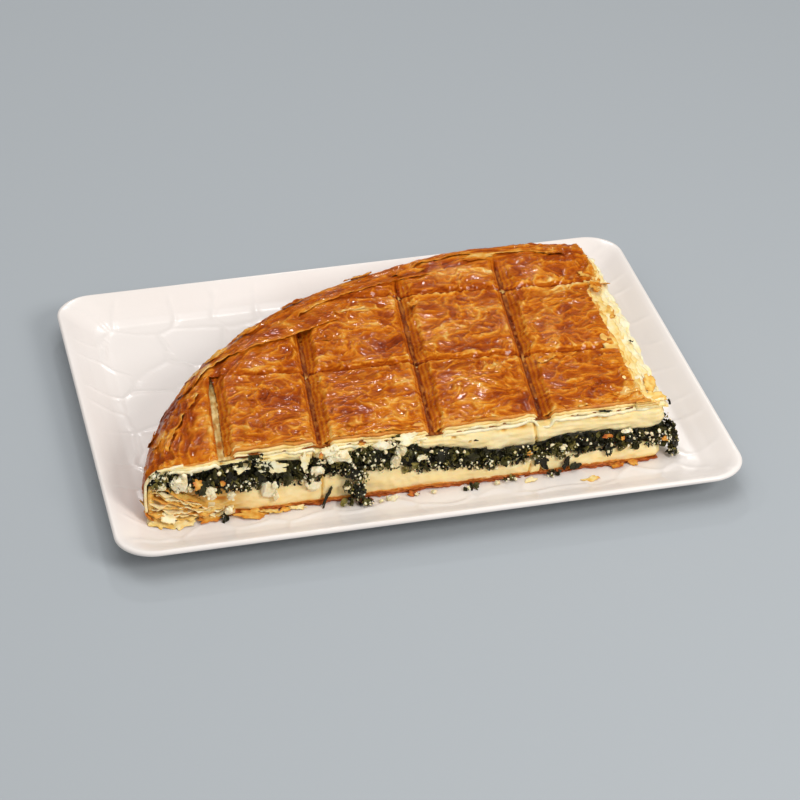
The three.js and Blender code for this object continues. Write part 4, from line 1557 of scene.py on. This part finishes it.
def scatter(name, places, sizes, kit, smallest, largest, seed, material, smooth=True):
    mesh = bpy.data.meshes.new(name + "_points")
    mesh.from_pydata([tuple(p * MM) for p in places], [], [])
    stored = mesh.attributes.new("size", "FLOAT", "POINT")
    stored.data.foreach_set("value", np.asarray(sizes, np.float32))
    cloud = bpy.data.objects.new(name + "_points", mesh)
    bpy.context.scene.collection.objects.link(cloud)
    modifier = cloud.modifiers.new("scatter", "NODES")
    modifier.node_group = scatter_tree(material)
    named = {item.name: item.identifier for item in modifier.node_group.interface.items_tree}
    for key, value in (("Shapes", kit), ("Smallest", smallest), ("Largest", largest), ("Seed", seed)):
        modifier[named[key]] = value
    evaluated = cloud.evaluated_get(bpy.context.evaluated_depsgraph_get())
    made = bpy.data.meshes.new_from_object(evaluated)
    cloud.modifiers.remove(modifier)
    bpy.data.objects.remove(cloud)
    if smooth:
        made.shade_smooth()
    else:
        made.shade_flat()
    piece = bpy.data.objects.new(name, made)
    bpy.context.scene.collection.objects.link(piece)
    return piece


# %% Where the scraps and crumbs go
FRONT_SCRAPS, RIGHT_SCRAPS = 1300, 560
FRONT_CRUMBS, RIGHT_CRUMBS = 1150, 330  # before the places that are poor in feta lose theirs


def in_the_filling(rng, x, y, spare):
    """A height in the filling for each x and y; spare lets them run past its lower and upper edge."""
    low, high = filling_under(x, y), filling_over(x, y)
    z = low - spare[0] + (high - low + spare[0] + spare[1]) * rng.uniform(0, 1, len(x))
    return np.column_stack([x, y, z])


def on_front(rng, count, start, end, spare, depth):
    """Places on the filling's front face, from start to end; depth is measured from the cut."""
    x = rng.uniform(start, end, count)
    y = FRONT + rng.uniform(depth[0], depth[1], count)
    return in_the_filling(rng, x, y, spare)


def on_right(rng, count, start, end, spare, depth):
    """The same on the right face."""
    y = rng.uniform(start, end, count)
    x = RIGHT + rng.uniform(depth[0], depth[1], count)
    return in_the_filling(rng, x, y, spare)


def in_clumps(rng, clumps):
    """Places in clumps, dense in the middle of each."""
    places = []
    for x, y, z, half, count in clumps:
        ball = rng.normal(size=(count, 3))
        ball *= (rng.uniform(0.2, 1, count) ** 0.5 / np.linalg.norm(ball, axis=1))[:, None]
        places.append(np.array([x, y, WELL + z]) + ball * np.array(half))
    places = np.vstack(places)
    places[:, 2] = np.maximum(places[:, 2], WELL + 0.9)
    return places


CLUMPS = [  # x, y, height over the plate, half sizes, how many
    (-36, -101, 30, (10, 2, 4), 80), (-29, -101.5, 24, (7, 2, 4.5), 60), (-42, -102, 23, (7, 2, 5), 60),
    (-37, -103, 15, (5, 2.5, 5), 46), (-44, -103.5, 11, (4.5, 2, 4), 30), (-40, -105, 6, (5, 3, 3.5), 40),
    (-36, -107.5, 2.2, (5, 3, 1.5), 24), (-46, -106, 1.8, (3, 2.5, 1.2), 14),
    (-150, -99.5, 32, (6, 1.5, 3), 40), (-101, -100.5, 21, (9, 1.6, 5), 60),
    (144.5, -98, 14.5, (4, 3.6, 5.6), 60), (147, -97, 9, (3.4, 4, 6), 46),
    (147, -98, 3, (3.5, 4, 2), 26), (-96, -100.6, 36, (6, 1.2, 3.4), 34),
    (108, -101, 15, (2.2, 1.2, 6), 14), (66, -101, 13, (3.6, 1.4, 5), 22),
    (80, -100.5, 14.5, (3, 1.2, 4), 16),
    (37, -101, 13, (4, 1.4, 3), 20), (13, -101, 17, (12, 1.5, 3.5), 46), (60, -100.5, 19, (10, 1.2, 3), 26),
    (24, -105, 1.4, (6, 2, 1), 16), (74, -103, 2.2, (5, 2, 1.4), 16), (48, -103, 2.4, (4, 2, 1.4), 16),
    (-116, -104, 2, (2, 2, 2.6), 10), (141, 20, 15, (3, 30, 3), 30),
]
rng = np.random.default_rng(11)
scrap_places = np.vstack([
    on_front(rng, FRONT_SCRAPS, -154, 143, (0.6, 0.2), (-1.4, 1.8)),
    on_right(rng, RIGHT_SCRAPS, -99, 92, (0.5, 0.2), (-2.6, 0.4)),
    in_clumps(rng, CLUMPS),
])
scrap_sizes = 0.5 + 1.25 * rng.uniform(0, 1, len(scrap_places)) ** 2.6
scrap_sizes[FRONT_SCRAPS + RIGHT_SCRAPS:] *= 0.8  # the ones in clumps are smaller
crumb_seeds = np.vstack([
    on_front(rng, FRONT_CRUMBS, -156, 144, (0.9, 0.4), (-2.4, -0.2)),
    on_right(rng, RIGHT_CRUMBS, -99, 92, (0.8, 0.3), (-1.0, 0.8)),
])
x, y, z = crumb_seeds.T
richness = 1.3 * noise((x + y) / 9, z / 6, 541) + 0.25 * ease(5, 1, z - filling_under(x, y))
crumb_seeds = crumb_seeds[richness > rng.uniform(-0.15, 0.9, len(crumb_seeds))]
clump_crumbs = in_clumps(rng, [(x, y - 1.2, z, half, count * 2 // 5) for x, y, z, half, count in CLUMPS])
crumb_places = np.vstack([crumb_seeds, clump_crumbs])
print(f"{len(scrap_places)} leaf scraps and {len(crumb_places)} crumbs")

# %% Leaf and feta finishes
leaf_finish = Surface("spinach_leaf", Roughness=0.42, Specular_IOR_Level=0.3)
leaf_grain = leaf_finish.math("MULTIPLY_ADD", leaf_finish.noise(700.0, 3.0), 0.4, -0.2)
leaf_tone = leaf_finish.math("ADD", leaf_finish.stored("tone"), leaf_grain)
leaf_finish.bump(leaf_finish.noise(900.0, 3.0), 0.5, 0.0005)
leaf_finish.colour(leaf_finish.ramp(
    leaf_tone, (0.0, (16, 14, 5)), (0.4, (30, 28, 11)), (0.64, (48, 46, 19)), (0.84, (72, 68, 30)),
    (0.95, (110, 102, 48)), (1.0, (146, 130, 66)),
))
feta_finish = Surface("crumbled_feta", Roughness=0.55, Subsurface_Weight=0.15, Subsurface_Scale=0.002)
feta_finish.bump(feta_finish.noise(800.0, 4.0), 0.5, 0.0006)
feta_finish.colour(feta_finish.ramp(
    feta_finish.noise(300.0, 3.0), (0.3, (226, 204, 150)), (0.5, (244, 230, 190)), (0.7, (252, 245, 218)),
))

# %% Scatter them
scrap_kit = make_kit("scrap", [scrap_shape(seed) for seed in range(20, 28)], leaf_finish.material)
crumb_kit = make_kit("crumb", [crumb_shape(seed) for seed in range(30, 36)], feta_finish.material)
settle(scatter("leaf_scraps", scrap_places, scrap_sizes, scrap_kit, 1.0, 2.4, 3, leaf_finish.material, False),
       "spinach_feta_filling")
crumb_sizes = 0.2 + 0.9 * rng.uniform(0, 1, len(crumb_places)) ** 2.5
settle(scatter("feta_crumbs", crumb_places, crumb_sizes, crumb_kit, 0.8, 1.7, 4, feta_finish.material),
       "spinach_feta_filling")

# %% [markdown]
# ## Lumps of feta
# A few lumps stayed whole. Each is a block with flat breaks, where it snapped, and a crumbly skin, with a
# few crumbs stuck to it. It starts as a ball, and every break flattens the part that lies beyond a plane.

# %% Feta lumps
LUMPS = [  # x, y, height over the plate, half sizes
    (-139, -100, 26.5, (6.6, 4, 7.2)), (-123, -101, 17, (4.6, 3, 5)), (-90, -101.5, 16, (5.2, 3, 6.6)),
    (-86, -102, 10.5, (2.6, 2, 4)), (-62.5, -101, 23, (4.8, 3, 4.8)), (-49, -101.5, 31, (8, 3, 6.5)),
    (-65, -101, 14, (5.4, 2.5, 4.6)), (-24, -101, 33.5, (8, 2.6, 4)), (-14, -101, 30, (3.4, 2, 5)),
    (-17, -100.5, 23, (4, 2.4, 6)), (-150, -101, 25, (3, 2, 2.6)), (-20, -106, 1.8, (4.6, 2.4, 2)),
    (-27, -107, 1.2, (1.6, 1.4, 1.1)), (-6, -105, 1.2, (1.4, 1.2, 1)), (4, -105, 1.4, (2.2, 1.4, 1.2)),
    (80, -101, 17.5, (2.6, 1.6, 2)), (-113, -104, 6, (3, 1.8, 3)), (-2, -101, 23, (3.4, 1.8, 3)),
    (41, -104.6, 1.6, (2.2, 1.6, 1.4)), (118, -100.6, 22.5, (4, 1.6, 1.6)),
    (-111, -100.6, 13.6, (2.6, 2, 3.4)),
]


def lump_shells(x, y, z, half, seed):
    """One lump: a block with flat breaks and a crumbly skin, and a few crumbs that stick to it."""
    rng = np.random.default_rng(seed)
    half, middle = np.array(half), np.array([x, y, WELL + z])
    shells = []
    for number in range(8):
        is_block = number == 0
        share = 0.92 if is_block else rng.uniform(0.16, 0.4)
        way = rng.normal(size=3)
        way /= np.linalg.norm(way)
        offset = 0 * way if is_block else way * half * (1.0 - 0.5 * share)
        ball = bmesh.new()
        bmesh.ops.create_icosphere(ball, subdivisions=5 if is_block else 3, radius=1.0)
        points = np.array([vert.co for vert in ball.verts])
        faces = np.array([[vert.index for vert in face.verts] for face in ball.faces])
        ball.free()
        for _ in range(11):
            cut = rng.normal(size=3)
            cut /= np.linalg.norm(cut)
            points = points - np.maximum(points @ cut - rng.uniform(0.45, 0.85), 0)[:, None] * cut * 0.95
        along, across = points[:, 0] + 0.6 * points[:, 2], points[:, 1] - 0.6 * points[:, 2]
        rough = 0.1 * fractal(along * 2.6, across * 2.6, seed + number, 2)
        rough = rough + 0.07 * noise(along * 9, across * 9, seed + number + 5)
        size = half * share if is_block else np.full(3, half.mean() * share)
        points = points * (1 + rough[:, None]) * size + middle + offset
        points[:, 2] = np.maximum(points[:, 2], WELL + 0.1)
        shells.append((points, faces, {}))
    return shells


shells = [shell for number, lump in enumerate(LUMPS) for shell in lump_shells(*lump, 560 + 20 * number)]
settle_shells("feta_lumps", shells, feta_finish, "spinach_feta_filling")

# %% [markdown]
# ## Leaves that hang out
# Some leaves stayed large. They hang flat and dark over the lower pastry, or lie as slivers on the dough and
# at the crust's edge. They are made like the loose flakes.

# %% Large leaves and slivers
LEAVES = [  # place with its height over the plate, half sizes, turns, tone
    ((108, -100.8, 14), (2.4, 6.4), (84, 8, 4), 0.4), ((68, -101, 11), (3.6, 5.4), (80, -24, 8), 0.3),
    ((82, -101.4, 6.4), (2.2, 3.6), (74, 34, 0), 0.35), ((87, -102, 4), (3.4, 2), (60, 0, 10), 0.45),
    ((-57, -102.6, 6), (1.1, 5.4), (74, 30, 0), 0.45), ((38, -101, 12.5), (3.4, 3.6), (80, 0, 8), 0.3),
    ((-94, -100.8, 25), (3.2, 5.4), (80, 10, 0), 0.4), ((-112, -100.9, 24), (4.4, 4.8), (80, -8, 0), 0.25),
    ((-126, -100.8, 22), (3.4, 5), (82, 12, 0), 0.62), ((-79, -101, 21), (2.6, 4.6), (80, -14, 0), 0.72),
    ((10, -101, 22), (4.6, 3.6), (78, 0, 4), 0.3), ((27, -100.8, 18), (3.8, 3), (80, 10, 0), 0.55),
    ((-30, -101.8, 29), (5, 4.4), (76, 0, -6), 0.2), ((-43, -102.8, 20), (3.6, 4), (70, -20, 0), 0.3),
    ((-38, -105, 9), (3.2, 4.4), (60, 14, 0), 0.4), ((94, -100.6, 19), (4, 2.6), (82, 0, 0), 0.35),
    ((120, -100.6, 18), (3.6, 3), (80, 12, 0), 0.3), ((147, -100, 12), (3, 4.6), (70, 20, 30), 0.3),
    ((105, -98.6, 36.6), (4, 0.7), (70, 6, 0), 0.3), ((28, -98.8, 28.6), (2.4, 0.6), (74, 10, 0), 0.2),
    ((140, -32, 38.4), (1.8, 0.9), (0, 10, 30), 0.1), ((145, -92, 33), (0.6, 2.4), (30, 40, 0), 0.1),
    ((132, -96, 36.4), (2.4, 0.7), (60, 0, 0), 0.3), ((-116, -105, 2.4), (1.8, 2.8), (50, 10, 0), 0.4),
]
shells = [loose_flake(*leaf, 2000 + 10 * number, bend=1.1, thickness=0.35, key="tone")
          for number, leaf in enumerate(LEAVES)]
settle_shells("large_leaves", shells, leaf_finish, "spinach_feta_filling")
